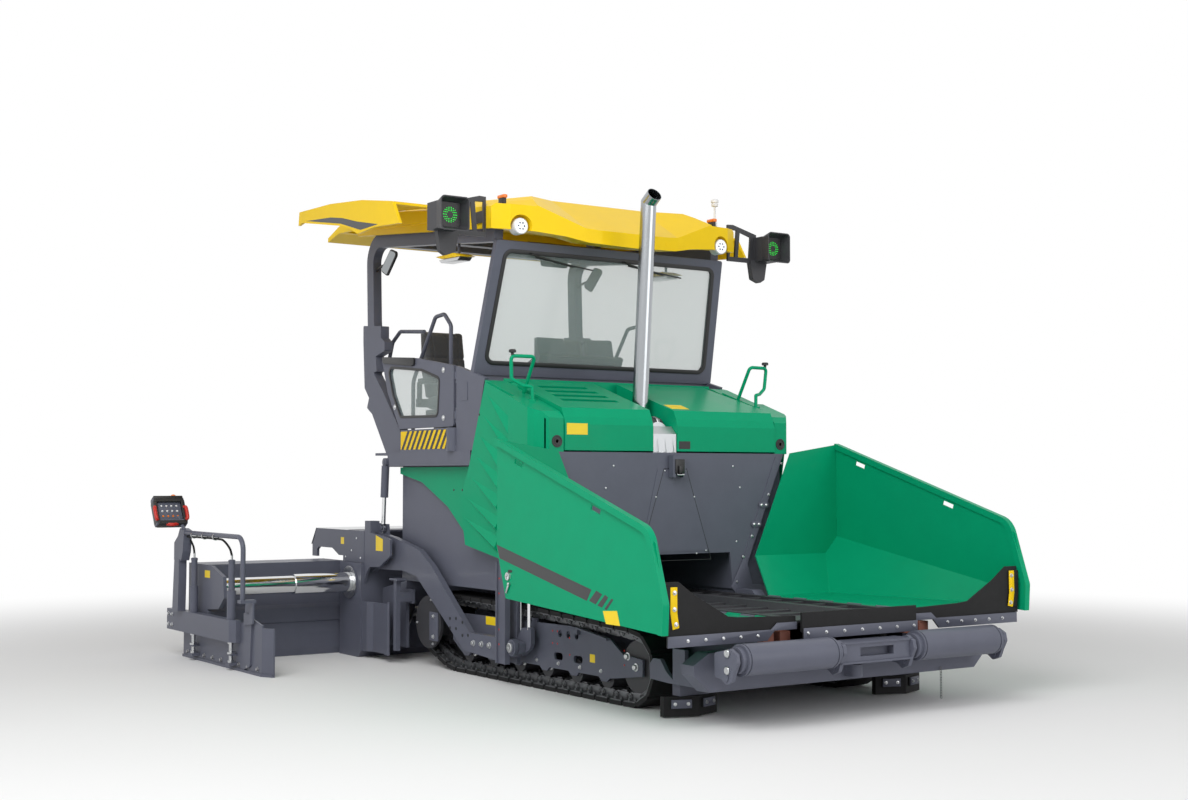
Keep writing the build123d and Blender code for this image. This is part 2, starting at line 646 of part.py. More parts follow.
def hood_frame():
    """Both side caps and the wall behind the lids, with the lids' hinge pins."""
    caps = [hood_cap(), mirror(hood_cap(), about=Plane.XZ)]
    wall = block(HOOD_BACK, (-LID_OUT - GAP, LID_OUT + GAP), (BODY_TOP + 24, 2345))
    pins = []
    for low, high in lid_ears(*LID_LEFT) + lid_ears(*LID_RIGHT):
        pin = rod((LID_PIVOT_X, low - 24, LID_PIVOT_Z), (LID_PIVOT_X, high + 24, LID_PIVOT_Z), 7)
        for near, far in ((low - 24, low - GAP), (high + GAP, high + 24)):
            pin += rod((LID_PIVOT_X, near, LID_PIVOT_Z), (LID_PIVOT_X, far, LID_PIVOT_Z), 11)
            pin += block((HOOD_BACK[1] - 2, LID_PIVOT_X), (near, far), (LID_PIVOT_Z - 8, LID_PIVOT_Z + 8))
        pins.append(pin)
    return join(caps + [wall] + pins)


def hood_centre():
    """Heat shield, floor and silencer in the slot between the lids."""
    low, high = GAP_RIGHT, GAP_LEFT
    front = LID_FRONT - 10
    shield = prism("y", [(front, BODY_TOP), (front, 1905), (front - 60, 1965), (front - 90, 1965),
                         (front - 90, BODY_TOP)], low, high)
    solids = [shield]
    for index in range(3):
        y = low + (index + 0.5) * (high - low) / 3
        rib = [(front - 1, y - 24, BODY_TOP + 2), (front - 1, y + 24, BODY_TOP + 2), (front - 1, y, 1890),
               (front + 9, y, BODY_TOP + 8)]
        solids.append(wedge(rib, [(0, 1, 2), (0, 1, 3), (1, 2, 3), (2, 0, 3)]))
    middle = (low + high) / 2
    solids.append(rod((front - 85, middle, 1905), (150, middle, 1905), 95))
    solids.append(block((150, 640), (low + 40, high - 40), (ENGINE[2][1], 1830)))
    solids.append(rod(Vector(*STACK_FOOT) - stack_way() * 90, STACK_FOOT, 66))
    return join(solids)


STACK_FOOT, STACK_TOP = (457, -90, 2030), (585, -90, 3730)


STACK_RADIUS, STACK_WALL = 62, 4


def stack_way():
    return (Vector(*STACK_TOP) - Vector(*STACK_FOOT)).normalized()


def exhaust_stack():
    """Leaning pipe with a mitred tip whose mouth faces forward."""
    top = Vector(*STACK_TOP)
    tip_way = Vector(math.cos(math.radians(35)), 0, math.sin(math.radians(35)))
    mitre = Plane(origin=top, z_dir=stack_way() + tip_way)
    far = 400
    above = extrude(mitre * Rectangle(far, far), amount=far)
    below = extrude(mitre * Rectangle(far, far), amount=-far)
    bore = STACK_RADIUS - STACK_WALL
    stack = rod(STACK_FOOT, top + stack_way() * 120, STACK_RADIUS, bore) - above
    tip = rod(top - tip_way * 120, top + tip_way * 96, STACK_RADIUS, bore) - below
    return stack + tip


save("hood_lid_left", hood_lid(*LID_LEFT, "high"))
save("hood_lid_right", louvres(hood_lid(*LID_RIGHT, "low")))
save_both("hood_handles", hood_handle())
save("hood_frame", hood_frame())
save("hood_centre", hood_centre())
save("exhaust_stack", exhaust_stack())


# ---------------------------------------------------------------- hopper wings
def crease_height(x):
    return CREASE_REAR - CREASE_FALL * (x - WING_BACK)


def slope_edge(x, z):
    """Y where the sloping side of a wing reaches height z, at x."""
    return WING_HALF - (crease_height(x) - z) / SLOPE


def wing_tray():
    """One hopper wing: side plate with its rim, rear plate, sloping sides, floor and knuckles."""
    back, plate, floor = WING_BACK, WING_PLATE, WING_FLOOR
    outside = WING_HALF + plate
    nose = WING_NOSE + 15
    side = prism("y", [(back - plate, WING_TOP_REAR - 10), (WING_NOSE - 205, 1296), (nose - 30, 1170),
                       (nose + 50, 830), (nose + 40, SKIRT_FRONT), (back + 110, SKIRT_REAR),
                       (back - plate, CREASE_REAR - 14)], WING_HALF, outside)
    fall = (WING_TOP_REAR - 23 - WING_TOP_FRONT) / (WING_NOSE - 77 - back)
    for x in (back + 280, back + 1230):
        z = WING_TOP_REAR - 90 - (x - back) * fall
        side -= Pos(x, WING_HALF, z) * Rot(0, 17.5, 0) * Box(110, 60, 34)
    rim = bent_bar([(back - plate, WING_TOP_REAR - 23), (WING_NOSE - 77, WING_TOP_FRONT), (nose + 52, 800),
                    (nose + 40, SKIRT_FRONT + 2)], [150, 40], RIM, WING_HALF - 14, WING_HALF + 34)
    fold_y = slope_edge(back, REAR_FOLD)
    rear = prism("x", [(750, REAR_FOLD - 8), (BODY_HALF + 40, BODY_TOP + 5), (outside, WING_TOP_REAR - 10),
                       (outside, CREASE_REAR - 14), (fold_y, REAR_FOLD - 8)], back - plate, back)
    corner_y = slope_edge(FLOOR_REAR, floor)
    nose_y = slope_edge(WING_NOSE, floor)
    heel = panel([(back, 750, REAR_FOLD), (back, fold_y, REAR_FOLD), (FLOOR_REAR, corner_y, floor),
                  (FLOOR_REAR, 648, floor)], plate, (0, 0, -1))
    slope = panel([(back, WING_HALF, CREASE_REAR), (back, fold_y, REAR_FOLD),
                   (FLOOR_REAR, corner_y, floor), (WING_NOSE, nose_y, floor),
                   (WING_NOSE, WING_HALF, crease_height(WING_NOSE))], plate, (0, 1, -1))
    bottom = prism("z", [(FLOOR_REAR - 8, 650), (FLOOR_REAR - 8, corner_y), (FLOOR_REAR, corner_y + 8),
                         (WING_NOSE, nose_y + 8), (WING_NOSE, 650)], floor - plate, floor)
    bead = rod((back - 4, fold_y + 5, REAR_FOLD - 5), (FLOOR_REAR + 4, corner_y - 1, floor - 13), 9)
    solids = [side, rim, rear, heel, slope, bottom, bead]
    for low, high in hinge_segments("wing"):
        knuckle = rod((low, HINGE_Y, HINGE_Z), (high, HINGE_Y, HINGE_Z), KNUCKLE)
        knuckle += block((low, high), (HINGE_Y + 10, 655), (floor - plate, floor))
        knuckle -= rod((low - 1, HINGE_Y, HINGE_Z), (high + 1, HINGE_Y, HINGE_Z), HINGE_PIN + RUNNING)
        solids.append(knuckle)
    return join(solids)


SKIRT_REAR, SKIRT_FRONT = 722, 612        # lower edge of the side plate's skirt


def wing_apron():
    """Rubber apron across the front of a wing, with its clamp strip and edge plate."""
    x = WING_NOSE
    rubber = prism("x", [(530, 600), (530, 676), (1000, 690), (1090, 700), (1350, 840), (1480, 930),
                         (1590, 930), (1600, 600)], x, x + 18)
    strip = prism("x", [(530, 592), (530, 640), (700, 640), (750, 600), (1575, 600), (1575, 530),
                        (780, 530), (720, 592)], x + 18, x + 30)
    plate = prism("x", [(1545, 740), (1545, 900), (1596, 900), (1598, 740), (1580, 640), (1530, 650)],
                  x + 18, x + 28)
    return rubber, strip, plate


def centre_apron():
    """Fixed rubber apron ahead of the conveyor, on two brackets."""
    face = WING_NOSE + 50
    front = MEMBER_FACES[1]
    rubber = block((face, face + 18), (-517, 517), (575, 700))
    strip = block((face + 18, face + 30), (-517, 517), (528, 600))
    bracket = block((front - 35, face), (300, 350), (580, 600))
    bracket += block((front - 35, front - 5), (300, 350), (470, 580))
    return rubber, strip, bracket, mirror(bracket, about=Plane.XZ)


save_pair("hopper_wing", wing_tray())
save_pair("wing_apron", *wing_apron())
save("scrapers", *centre_apron(), plough(), mirror(plough(), about=Plane.XZ))


# ---------------------------------------------------------------- push bar
ROLLER_IN, ROLLER_OUT = 345, 1172
PUSH_SHAFT = 30


def push_bar():
    """Bar pivoted at its middle, with the brackets and shafts of its two rollers."""
    back = PUSH_PIVOT_X + 20
    boss_low, boss_high = PUSH_BOSS
    solids = [block((back, back + 30), (-ROLLER_OUT - 43, ROLLER_OUT + 43), (345, boss_high + 5))]
    boss = rod((PUSH_PIVOT_X, 0, boss_low), (PUSH_PIVOT_X, 0, boss_high), 45)
    boss += block((PUSH_PIVOT_X, back + 5), (-45, 45), (345, boss_high))
    boss -= rod((PUSH_PIVOT_X, 0, 300), (PUSH_PIVOT_X, 0, 450), 20 + RUNNING)
    solids.append(boss)
    x, z = PUSH_AXIS_X, PUSH_AXIS_Z
    half = ROLLER_IN - 27
    carrier = block((back + 20, x + 34), (-half, half), (z - 72, z + 52))
    carrier -= block((x - 20, x + 50), (-150, 150), (z - 36, z + 22))
    solids.append(carrier)
    for level in (z - 80, z + 48):
        solids.append(block((back + 20, x + 44), (-half - 2, half + 2), (level, level + 12)))
    arm = [(back, z - 110), (back, z + 40), (x - 50, z + 62), (x, z + 75), (x + 60, z + 45), (x + 72, z - 10),
           (x + 40, z - 70), (x + 16, z - 128), (x - 40, z - 150), (x - 84, z - 120)]
    for side in (-1, 1):
        for low, high in ((ROLLER_IN - 45, ROLLER_IN - 15), (ROLLER_OUT + 16, ROLLER_OUT + 43)):
            low, high = sorted((side * low, side * high))
            bracket = prism("y", arm, low, high, corner=PUSH_CORNER)
            bracket += rod((x - 32, low - 8, z - 105), (x - 32, high + 8, z - 105), 22)
            solids.append(bracket)
        low, high = sorted((side * (ROLLER_IN - 25), side * (ROLLER_OUT + 23)))
        solids.append(rod((x, low, z), (x, high, z), PUSH_SHAFT))
    return join(solids)


PUSH_CORNER = 18          # rounding of the roller brackets


def push_roller():
    """Roller that the feed truck's tyres bear on, stepped and grooved at its ends."""
    x, z = PUSH_AXIS_X, PUSH_AXIS_Z
    roller = rod((x, ROLLER_IN, z), (x, ROLLER_OUT, z), PUSH_RADIUS - 18)
    roller += rod((x, ROLLER_IN + 34, z), (x, ROLLER_OUT - 34, z), PUSH_RADIUS)
    roller -= rod((x, ROLLER_IN, z), (x, ROLLER_OUT, z), PUSH_SHAFT + RUNNING)
    for y in (ROLLER_IN + 52, ROLLER_OUT - 52):
        groove = rod((x, y - 5, z), (x, y + 5, z), PUSH_RADIUS + 5, PUSH_RADIUS - 6)
        roller -= groove
    return roller


save("push_bar", push_bar())
save_pair("push_roller", push_roller())


# ---------------------------------------------------------------- operator's platform
def lift_bracket():
    """Bracket under the platform's rear edge that a lift cylinder hangs from."""
    x, z = LIFT_TOP
    plate = block((x - 45, PLATFORM_REAR + 1), (BODY_HALF - 40, LIFT_Y - 40), (z - 40, BODY_TOP + 3))
    pin = rod((x, LIFT_Y - 41, z), (x, LIFT_Y + 20, z), LIFT_PIN)
    return plate + pin


def platform_deck():
    """Floor with the side rails below its edges and the brackets of the lift cylinders."""
    deck = block((-2080, -170), (-PLATFORM_HALF + 60, PLATFORM_HALF - 60), (BODY_TOP, DECK_LEVEL))
    solids = [deck]
    for side in (-1, 1):
        low, high = sorted((side * BODY_HALF, side * PLATFORM_HALF))
        solids.append(block((PLATFORM_REAR, -300), (low, high), (1665, DECK_LEVEL)))
        bracket = lift_bracket()
        solids.append(bracket if side > 0 else mirror(bracket, about=Plane.XZ))
    return join(solids)


DOOR = [(-575, 1980), (-575, 2470), (-1224, 2570), (-1860, 2615), (-1740, 2300), (-1513, 1980)]
DOOR_HINGE_X = -560
DOOR_WINDOW = [(-840, 2071), (-812, 2380), (-1123, 2463), (-1735, 2520), (-1640, 2280), (-1497, 2083)]
DOOR_FACES = (BODY_HALF + 70, BODY_HALF + 106)


def door():
    """Side door with a rounded window and hinge barrels along its front edge."""
    low, high = DOOR_FACES
    leaf = prism("y", DOOR, low, high, corner=20) - prism("y", DOOR_WINDOW, low - 1, high + 1, corner=50)
    top_bar = prism("y", [(-1820, 2612), (-1235, 2571), (-1235, 2516), (-1280, 2508), (-1800, 2560)],
                    high - 1, high + 16, corner=12)
    leaf += top_bar
    middle = (low + high) / 2
    for z in (2040, 2360):
        barrel = rod((DOOR_HINGE_X, middle, z), (DOOR_HINGE_X, middle, z + 60), 16)
        barrel += block((-590, DOOR_HINGE_X), (middle - 8, middle + 8), (z, z + 60))
        barrel -= rod((DOOR_HINGE_X, middle, z - 1), (DOOR_HINGE_X, middle, z + 61), 8 + RUNNING)
        leaf += barrel
    return leaf


def door_glass():
    low, high = DOOR_FACES
    middle = (low + high) / 2
    return prism("y", DOOR_WINDOW, middle - 4, middle + 4, corner=50)


def side_wall():
    """Fixed panel ahead of the door with the hinge pins, and the sill with its round nose."""
    low, high = DOOR_FACES
    middle = (low + high) / 2
    top, sill = DECK_LEVEL, 1970
    wall = prism("y", [(-530, top), (-530, 2465), (-80, 2345), (-95, 2310), (-250, top)], low, high)
    badge = prism("y", [(-455, 2180), (-455, 2330), (-350, 2330), (-350, 2180)], high - 1, high + 4, corner=8)
    solids = [wall, badge]
    for z in (2040, 2360):
        hinge = rod((DOOR_HINGE_X, middle, z - 30), (DOOR_HINGE_X, middle, z + 90), 8)
        for near, far in ((z - 30, z - GAP), (z + 60 + GAP, z + 90)):
            hinge += block((DOOR_HINGE_X, -530), (middle - 8, middle + 8), (near, far))
        solids.append(hinge)
    sill_panel = block((-1490, -640), (low, high), (top, sill))
    sill_panel += rod((-600, middle, top), (-600, middle, sill), 60)
    solids.append(sill_panel)
    solids.append(block((-640, -520), (low, high), (top, 1830)))
    return join(solids)


def seat():
    """Operator's seat on its pedestal, with its head rest and arm rests."""
    x, y = -1480, 640
    base = block((x - 180, x + 180), (y - 160, y + 160), (DECK_LEVEL, 2160))
    cushion = prism("y", [(x - 230, 2160), (x + 250, 2160), (x + 262, 2240), (x + 225, 2296),
                          (x - 230, 2270)],
                    y - 230, y + 230)
    back = prism("y", [(x - 230, 2240), (x - 110, 2240), (x - 175, 2480), (x - 240, 2860), (x - 300, 2880),
                       (x - 345, 2860), (x - 330, 2500)], y - 220, y + 220, corner=22)
    arms = [block((x - 200, x + 120), (y + s * 262 - 28, y + s * 262 + 28), (2380, 2430)) +
            block((x - 230, x - 190), (y + s * 262 - 28, y + s * 262 + 28), (2250, 2430))
            for s in (-1, 1)]
    links = block((x - 230, x - 200), (y - 290, y + 290), (2180, 2260))
    return join([base, cushion, back, links] + arms)


def seat_hoops():
    """Two bent grab tubes beside a seat: one over the door's front half, one on the post."""
    y, foot = BODY_HALF - 80, DECK_LEVEL + SEAT
    front = pipe([(-1620, y, foot), (-1620, y, 2400), (-1225, y, 2926), (-1070, y, 2938), (-955, y, 2835),
                  (-955, y, foot)], [120, 60, 60, 60], 17)
    start = POST_Y - POST_WIDE / 2 - SEAT
    rear = pipe([(-2150, start, 2590), (-2150, y - 30, 2590), (-2072, y - 30, 2770), (-1925, y - 30, 2856),
                 (-1480, y - 30, 2822)], [24, 60, 60], 17)
    return front, rear


def operator_console():
    """Sliding console across the platform with its sloping panel and two folding screens."""
    stand = block((-760, -560), (-330, 330), (DECK_LEVEL, 2420))
    desk = prism("y", [(-900, 2400), (-900, 2440), (-520, 2600), (-480, 2580), (-560, 2400)], -420, 420)
    solids = [stand, desk]
    for y in (-250, 250):
        solids.append(prism("y", [(-640, 2530), (-560, 2560), (-600, 2740), (-640, 2735)], y - 130, y + 130))
    return join(solids)


POST_WIDE, POST_DEEP = 80, 125
RAIL_FRONT = (-54, 3479)          # front end of the post's upper rail
RAIL_SLOPE = 0.096                # how much the rail rises for each unit rearward


def rail_height(x):
    return RAIL_FRONT[1] + RAIL_SLOPE * (RAIL_FRONT[0] - x)


def post():
    """Bent roll-over post from the platform up and forward under the roof, with its stepped foot plate."""
    low, high = POST_Y - POST_WIDE / 2, POST_Y + POST_WIDE / 2
    bar = bent_bar([(-2150, 2500), (-2210, 2960), (-2238, rail_height(-2238)), RAIL_FRONT], [600, 190],
                   POST_DEEP, low, high)
    outline = [(-1894, DECK_LEVEL), (-2173, 2132), (-2274, 2189), (-2235, 2277), (-2325, 2370),
               (-2356, 2778), (-2358, 2932), (-2007, 2904), (-2007, 2800), (-1935, 2760), (-1935, 2680),
               (-2121, 2640), (-2138, 2486), (-1959, 2318), (-1632, 1976), (-1544, DECK_LEVEL)]
    foot = prism("y", outline, low, high, corner=14, only=[2, 4, 6, 7, 9, 10, 12, 13])
    return bar + foot


def rops_frame():
    """Two posts joined across the top at the rear and in the middle, with the roof's brackets."""
    left = post()
    right = mirror(left, about=Plane.XZ)
    bars = [block((x - 45, x + 45), (-POST_Y, POST_Y), (rail_height(x) - 40, rail_height(x) + 40))
            for x in (-2120, -1180)]
    brackets = []
    for x in (-1900, -700):
        ends = (x - 70, x + 70)
        outline = [(ends[0], rail_height(ends[0])), (ends[1], rail_height(ends[1])),
                   (ends[1], roof_under(ends[1]) - SEAT), (ends[0], roof_under(ends[0]) - SEAT)]
        for side in (-1, 1):
            brackets.append(prism("y", outline, side * POST_Y - 38, side * POST_Y + 38))
    return join([left, right] + bars + brackets)


ROOF_FRONT = 264          # front of the roof's visor
ROOF_PITCH = 0.098        # how much the roof rises for each unit rearward
ROOF_EDGE = 3677          # top of the shoulders, at the front
ROOF_LINING = 37          # from there down to the lining
VISOR_FOLD = 3530         # height of the fold across the visor
CROWN_TOP = 3779
TAIL_X = -2930            # drooping rear end


def roof_rise(x):
    return ROOF_PITCH * (ROOF_FRONT - x)


def roof_under(x):
    """Height of the lining above the side rails."""
    return ROOF_EDGE - ROOF_LINING + roof_rise(x)


def roof_run(section, front, rear):
    """Solid with a front-view outline of y, z drawn at ROOF_FRONT, following the roof's pitch."""
    points = [Vector(front, y, z + roof_rise(front)) for y, z in section]
    face = Face(Wire.make_polygon(points, close=True))
    way = Vector(-1, 0, ROOF_PITCH)
    return extrude(face, amount=(front - rear) * way.length, dir=way.normalized())


def both_sides(half):
    """Closed outline from its left half, given from the bottom to the top."""
    return half + [(-y, z) for y, z in reversed(half)]


SCREEN_LEAN = math.degrees(math.atan2(218, 901))
SCREEN = Plane(origin=(-302, 0, 2392), x_dir=(0, 1, 0),
               z_dir=(math.cos(math.radians(SCREEN_LEAN)), 0, -math.sin(math.radians(SCREEN_LEAN))))
SCREEN_HEIGHT = 1075


def screen_outline(bottom, top, low, high, depth, corner):
    """Trapezoid in the leaning plane of the windscreen."""
    points = [(-bottom, low), (bottom, low), (top, high), (-top, high)]
    face = Face(Wire.make_polygon([SCREEN.from_local_coords(Vector(a, b, 0)) for a, b in points],
                                  close=True))
    if corner:
        face = face.fillet_2d(corner, face.vertices())
    return extrude(face, amount=depth, dir=SCREEN.z_dir)


def windscreen_frame():
    """Leaning frame with its rounded opening, and the wall below it."""
    frame = screen_outline(1190, 1125, 0, SCREEN_HEIGHT, 50, 20)
    frame -= screen_outline(1100, 1040, 95, 1000, 200, 70)
    cut = screen_outline(1100, 1040, 95, 1000, -50, 70)
    frame -= cut
    half = DOOR_FACES[0] + 1
    wall = block((-290, -270), (-half, half), (DECK_LEVEL, 2420))
    return join([frame, wall, side_wall(), mirror(side_wall(), about=Plane.XZ)])


def windscreen_glass():
    back = screen_outline(1100 - SEAT, 1040 - SEAT, 95 + SEAT, 1000 - SEAT, 30, 70)
    return back - screen_outline(1120, 1060, 60, 1040, 20, 0)


save("platform_deck", platform_deck())
save_pair("door", door())
save_pair("door_glass", door_glass())
save_both("seats", seat())
save_both("seat_hoops", *seat_hoops())
save("operator_console", operator_console())
save("rops_frame", rops_frame())
save("windscreen_frame", windscreen_frame())
save("windscreen_glass", windscreen_glass())


# ---------------------------------------------------------------- roof
def roof_shell():
    """Moulded roof: shoulders, a raised crown and a visor that falls to a fold in front."""
    edge = ROOF_HALF
    shoulders = roof_run(both_sides([(0, 3415), (430, 3425), (620, 3458), (880, 3478), (edge, 3480),
                                     (edge, ROOF_EDGE - 25), (edge - 30, ROOF_EDGE)]), ROOF_FRONT, -2300)
    crown_foot = ROOF_HALF - 330
    crown = roof_run(both_sides([(crown_foot, ROOF_EDGE - 5), (crown_foot - 70, CROWN_TOP - 34),
                                 (crown_foot - 120, CROWN_TOP)]), ROOF_FRONT, -2330)
    fold_half, fold_end = 455, ROOF_HALF + 100
    visor = both_sides([(fold_half, VISOR_FOLD), (fold_end, VISOR_FOLD + 0.274 * (fold_end - fold_half)),
                        (fold_end, 4400)])
    face = Face(Wire.make_polygon([Vector(ROOF_FRONT + 1, y, z) for y, z in visor], close=True))
    slope_cut = extrude(face, amount=1500, dir=Vector(-0.52, 0, 0.30).normalized())
    tail = prism("y", [(-2250, 3975), (-2250, 3760), (-2500, 3800), (-2700, 3805), (TAIL_X, 3752),
                       (TAIL_X, 3790), (-2700, 3868), (-2480, 3928)], -edge, edge)
    top_cut = prism("y", [(-1900, 4020), (-2330, 3948), (-2330, 4300), (-1900, 4300)], -edge, edge)
    front_cut = prism("z", [(ROOF_FRONT + 1, 300), (250, 455), (180, 845), (130, 1080), (50, edge + 1),
                            (ROOF_FRONT + 1, edge + 1)], 3300, 4200)
    wall = 30
    low_void = roof_run([(-edge + wall, 3300), (-edge + wall, 3560), (edge - wall, 3560),
                         (edge - wall, 3300)], 20, -2600)
    main_void = roof_run([(-edge + wall, 3500), (-edge + wall, ROOF_EDGE - ROOF_LINING),
                          (edge - wall, ROOF_EDGE - ROOF_LINING), (edge - wall, 3500)], -60, -2230)
    crown_void = roof_run(both_sides([(crown_foot - 40, ROOF_EDGE - ROOF_LINING - 5),
                                      (crown_foot - 100, CROWN_TOP - 55),
                                      (crown_foot - 140, CROWN_TOP - 30)]), -330, -1850)
    roof = join([shoulders, crown - top_cut, tail])
    roof = roof - slope_cut - front_cut - mirror(front_cut, about=Plane.XZ)
    roof = roof - low_void - main_void - crown_void
    for side in (-1, 1):
        y = side * LAMP_Y
        roof -= rod((70, y, LAMP_Z), (400, y, LAMP_Z), 88)
        roof -= block((70, 400), (y - 60, y + 60), (3300, LAMP_Z))
    return roof


LAMP_Y, LAMP_Z = ROOF_HALF - 215, 3524


def roof_lamps():
    return [rod((60, side * LAMP_Y, LAMP_Z), (140, side * LAMP_Y, LAMP_Z), 62) for side in (-1, 1)]


def display_box():
    """Hooded status display on a cut-out bracket at the roof's front corner."""
    y = ROOF_HALF + SEAT
    flange = block((-180, -30), (y, y + 14), (3560, 3650))
    outline = [(y, 3755), (y + 60, 3758), (y + 320, 3690), (y + 320, 3440), (y, 3440)]
    truss = prism("x", outline, -50, -30)
    truss -= prism("x", [(y + 22, 3715), (y + 100, 3712), (y + 78, 3478), (y + 22, 3478)], -60, -20)
    truss -= prism("x", [(y + 135, 3700), (y + 255, 3665), (y + 240, 3480), (y + 112, 3478)], -60, -20)
    middle = y + 395
    body = block((-80, 80), (middle - 95, middle + 95), (3455, 3665))
    link = block((-50, -20), (y + 290, middle), (3470, 3640))
    rear_face = Plane(origin=(78, middle, 3560), x_dir=(0, 1, 0), z_dir=(1, 0, 0))
    front_face = rear_face.offset(112)
    hood = loft([(rear_face * RectangleRounded(200, 215, 22)).face(),
                 (front_face * RectangleRounded(250, 262, 34)).face()])
    hood -= loft([(rear_face.offset(25) * RectangleRounded(178, 190, 16)).face(),
                  (front_face.offset(1) * RectangleRounded(232, 244, 28)).face()])
    drop = prism("x", [(middle - 150, 3470), (middle + 40, 3470), (middle + 10, 3300), (middle - 40, 3270),
                       (middle - 120, 3300)], -75, -20, corner=16)
    return join([flange, truss, body, link, hood, drop])


def side_shade():
    """Folding sun shade along the roof's edge: a curved skirt on a flat sheet."""
    outer, inner = ROOF_HALF + 545, ROOF_HALF + SEAT
    top = [(-555, 3745), (-1100, 3832), (-1703, 3885), (-2345, 3902)]
    bottom = [(-2363, 3784), (-2278, 3799), (-1464, 3666), (-1310, 3618), (-1178, 3563), (-868, 3580),
              (-433, 3554)]
    face = prism("y", top + bottom, outer - 25, outer, corner=30, only=[0, 7, 8])
    sheets = []
    for first, second in zip(top, top[1:]):
        sheets.append(prism("y", [first, second, (second[0], second[1] - 22), (first[0], first[1] - 22)],
                            inner, outer - 20))
    lip = prism("y", [(-2345, 3790), (-555, 3640), (-555, 3725), (-1703, 3865), (-2345, 3882)],
                inner, inner + 25)
    return join([face, lip] + sheets)


save("roof_shell", join([roof_shell()] + roof_lamps()))
save_both("display_boxes", display_box())
save_both("side_shades", side_shade())


# ---------------------------------------------------------------- levelling columns
def levelling_column():
    """Guide on the tractor's flank that carries the tow point and its cylinder."""
    low, high = 165, 930
    rear, front = COLUMN
    out = ARM_OUT + GAP
    outer = block(COLUMN, (out, out + 30), (low, high))
    for edge in ((rear, rear + 16), (front - 16, front)):
        outer += block(edge, (out, out + 44), (low, high))
    inner = block(COLUMN, (BODY_HALF + 10, ARM_IN - GAP), (low, high))
    head = block(COLUMN, (BODY_HALF, out + 30), (840, high))
    y = BODY_HALF + 27
    lift_x = TOW_X + 85
    carriage = prism("y", [(front, 236), (TOW_X + 10, 232), (lift_x + 25, 290), (lift_x + 50, 330),
                           (lift_x + 50, 440), (lift_x + 15, 452), (TOW_X, 440), (front, 350)],
                     BODY_HALF + 10, ARM_IN - GAP)
    pin = rod((TOW_X, BODY_HALF + 20, TOW_Z), (TOW_X, out + 44, TOW_Z), 30)
    cap = rod((TOW_X, out, TOW_Z), (TOW_X, out + 30, TOW_Z), 60)
    cap += rod((TOW_X, out, TOW_Z), (TOW_X, out + 38, TOW_Z), 45)
    cylinder = rod((lift_x, y, 400), (lift_x, y, 800), 17)
    barrel = rod((lift_x, y, 780), (lift_x, y, 1100), 26)
    gauge = rod((front + 30, y, 370), (front + 30, y, 860), 6)
    lugs = block((lift_x - 35, lift_x + 35), (BODY_HALF, y), (1040, 1100))
    lugs += block((front + 15, front + 45), (BODY_HALF, y + 8), (840, 870))
    return join([outer, inner, head, carriage, pin, cap, cylinder, gauge, barrel, lugs])


save_both("levelling_columns", levelling_column())


# ---------------------------------------------------------------- augers
def auger_frame():
    """Gear case in the middle, the end plates that carry the augers and the tunnel's end posts."""
    case = block((AUGER_X - 60, -1600), (-52, 52), (300, 500)) + block((-1650, -1600), (-52, 52), (300, 623))
    under = BODY_LOW - 1
    solids = [case]
    for side in (-1, 1):
        low, high = sorted((side * (BODY_HALF - 22), side * (BODY_HALF + 6)))
        solids.append(prism("y", [(-2010, 120), (-2010, 600), (-1560, under), (-1560, 120)], low, high))
        low, high = sorted((side * CHASSIS_HALF, side * (BODY_HALF - 10)))
        solids.append(block((-1590, -1560), (low, high), (600, under)))
        low, high = sorted((side * (BODY_HALF - 80), side * (BODY_HALF - 10)))
        solids.append(rod((AUGER_X, low, AUGER_Z), (AUGER_X, high, AUGER_Z), 24))
        low, high = sorted((side * 40, side * 120))
        solids.append(rod((AUGER_X, low, AUGER_Z), (AUGER_X, high, AUGER_Z), 24))
        low, high = sorted((side * (BODY_HALF + 4), side * (ARM_OUT + 30)))
        solids.append(block((-1500, -1450), (low, high), (520, 600)))
        low, high = sorted((side * (ARM_OUT + 20), side * (ARM_OUT + 60)))
        solids.append(block((-1500, -1450), (low, high), (110, 700)))
        low, high = sorted((side * (ARM_OUT - 10), side * (ARM_OUT + 78)))
        solids.append(block((-1545, -1405), (low, high), (700, 716)))
        low, high = sorted((side * (BODY_HALF - 18), side * (BODY_HALF + 6)))
        solids.append(block((-1562, -1450), (low, high), (500, 620)))
    return solids


def auger():
    """Hollow shaft with a helical flight."""
    start, end = 60, BODY_HALF - 30
    shaft = rod((AUGER_X, start, AUGER_Z), (AUGER_X, end, AUGER_Z), AUGER_SHAFT, 24 + RUNNING)
    middle = (AUGER_SHAFT - 4 + AUGER_RADIUS) / 2
    length = end - start - 40
    path = Helix(pitch=AUGER_PITCH, height=length, radius=middle)
    profile = Plane(origin=path @ 0, x_dir=(1, 0, 0), z_dir=path % 0)
    flight = sweep(profile * Rectangle(AUGER_RADIUS - AUGER_SHAFT + 4, 12), path=path, is_frenet=True)
    flight = Pos(AUGER_X, start + 20, AUGER_Z) * Rot(-90, 0, 0) * flight
    return shaft + flight


save("auger_frame", join(auger_frame()))
save_pair("auger", auger())


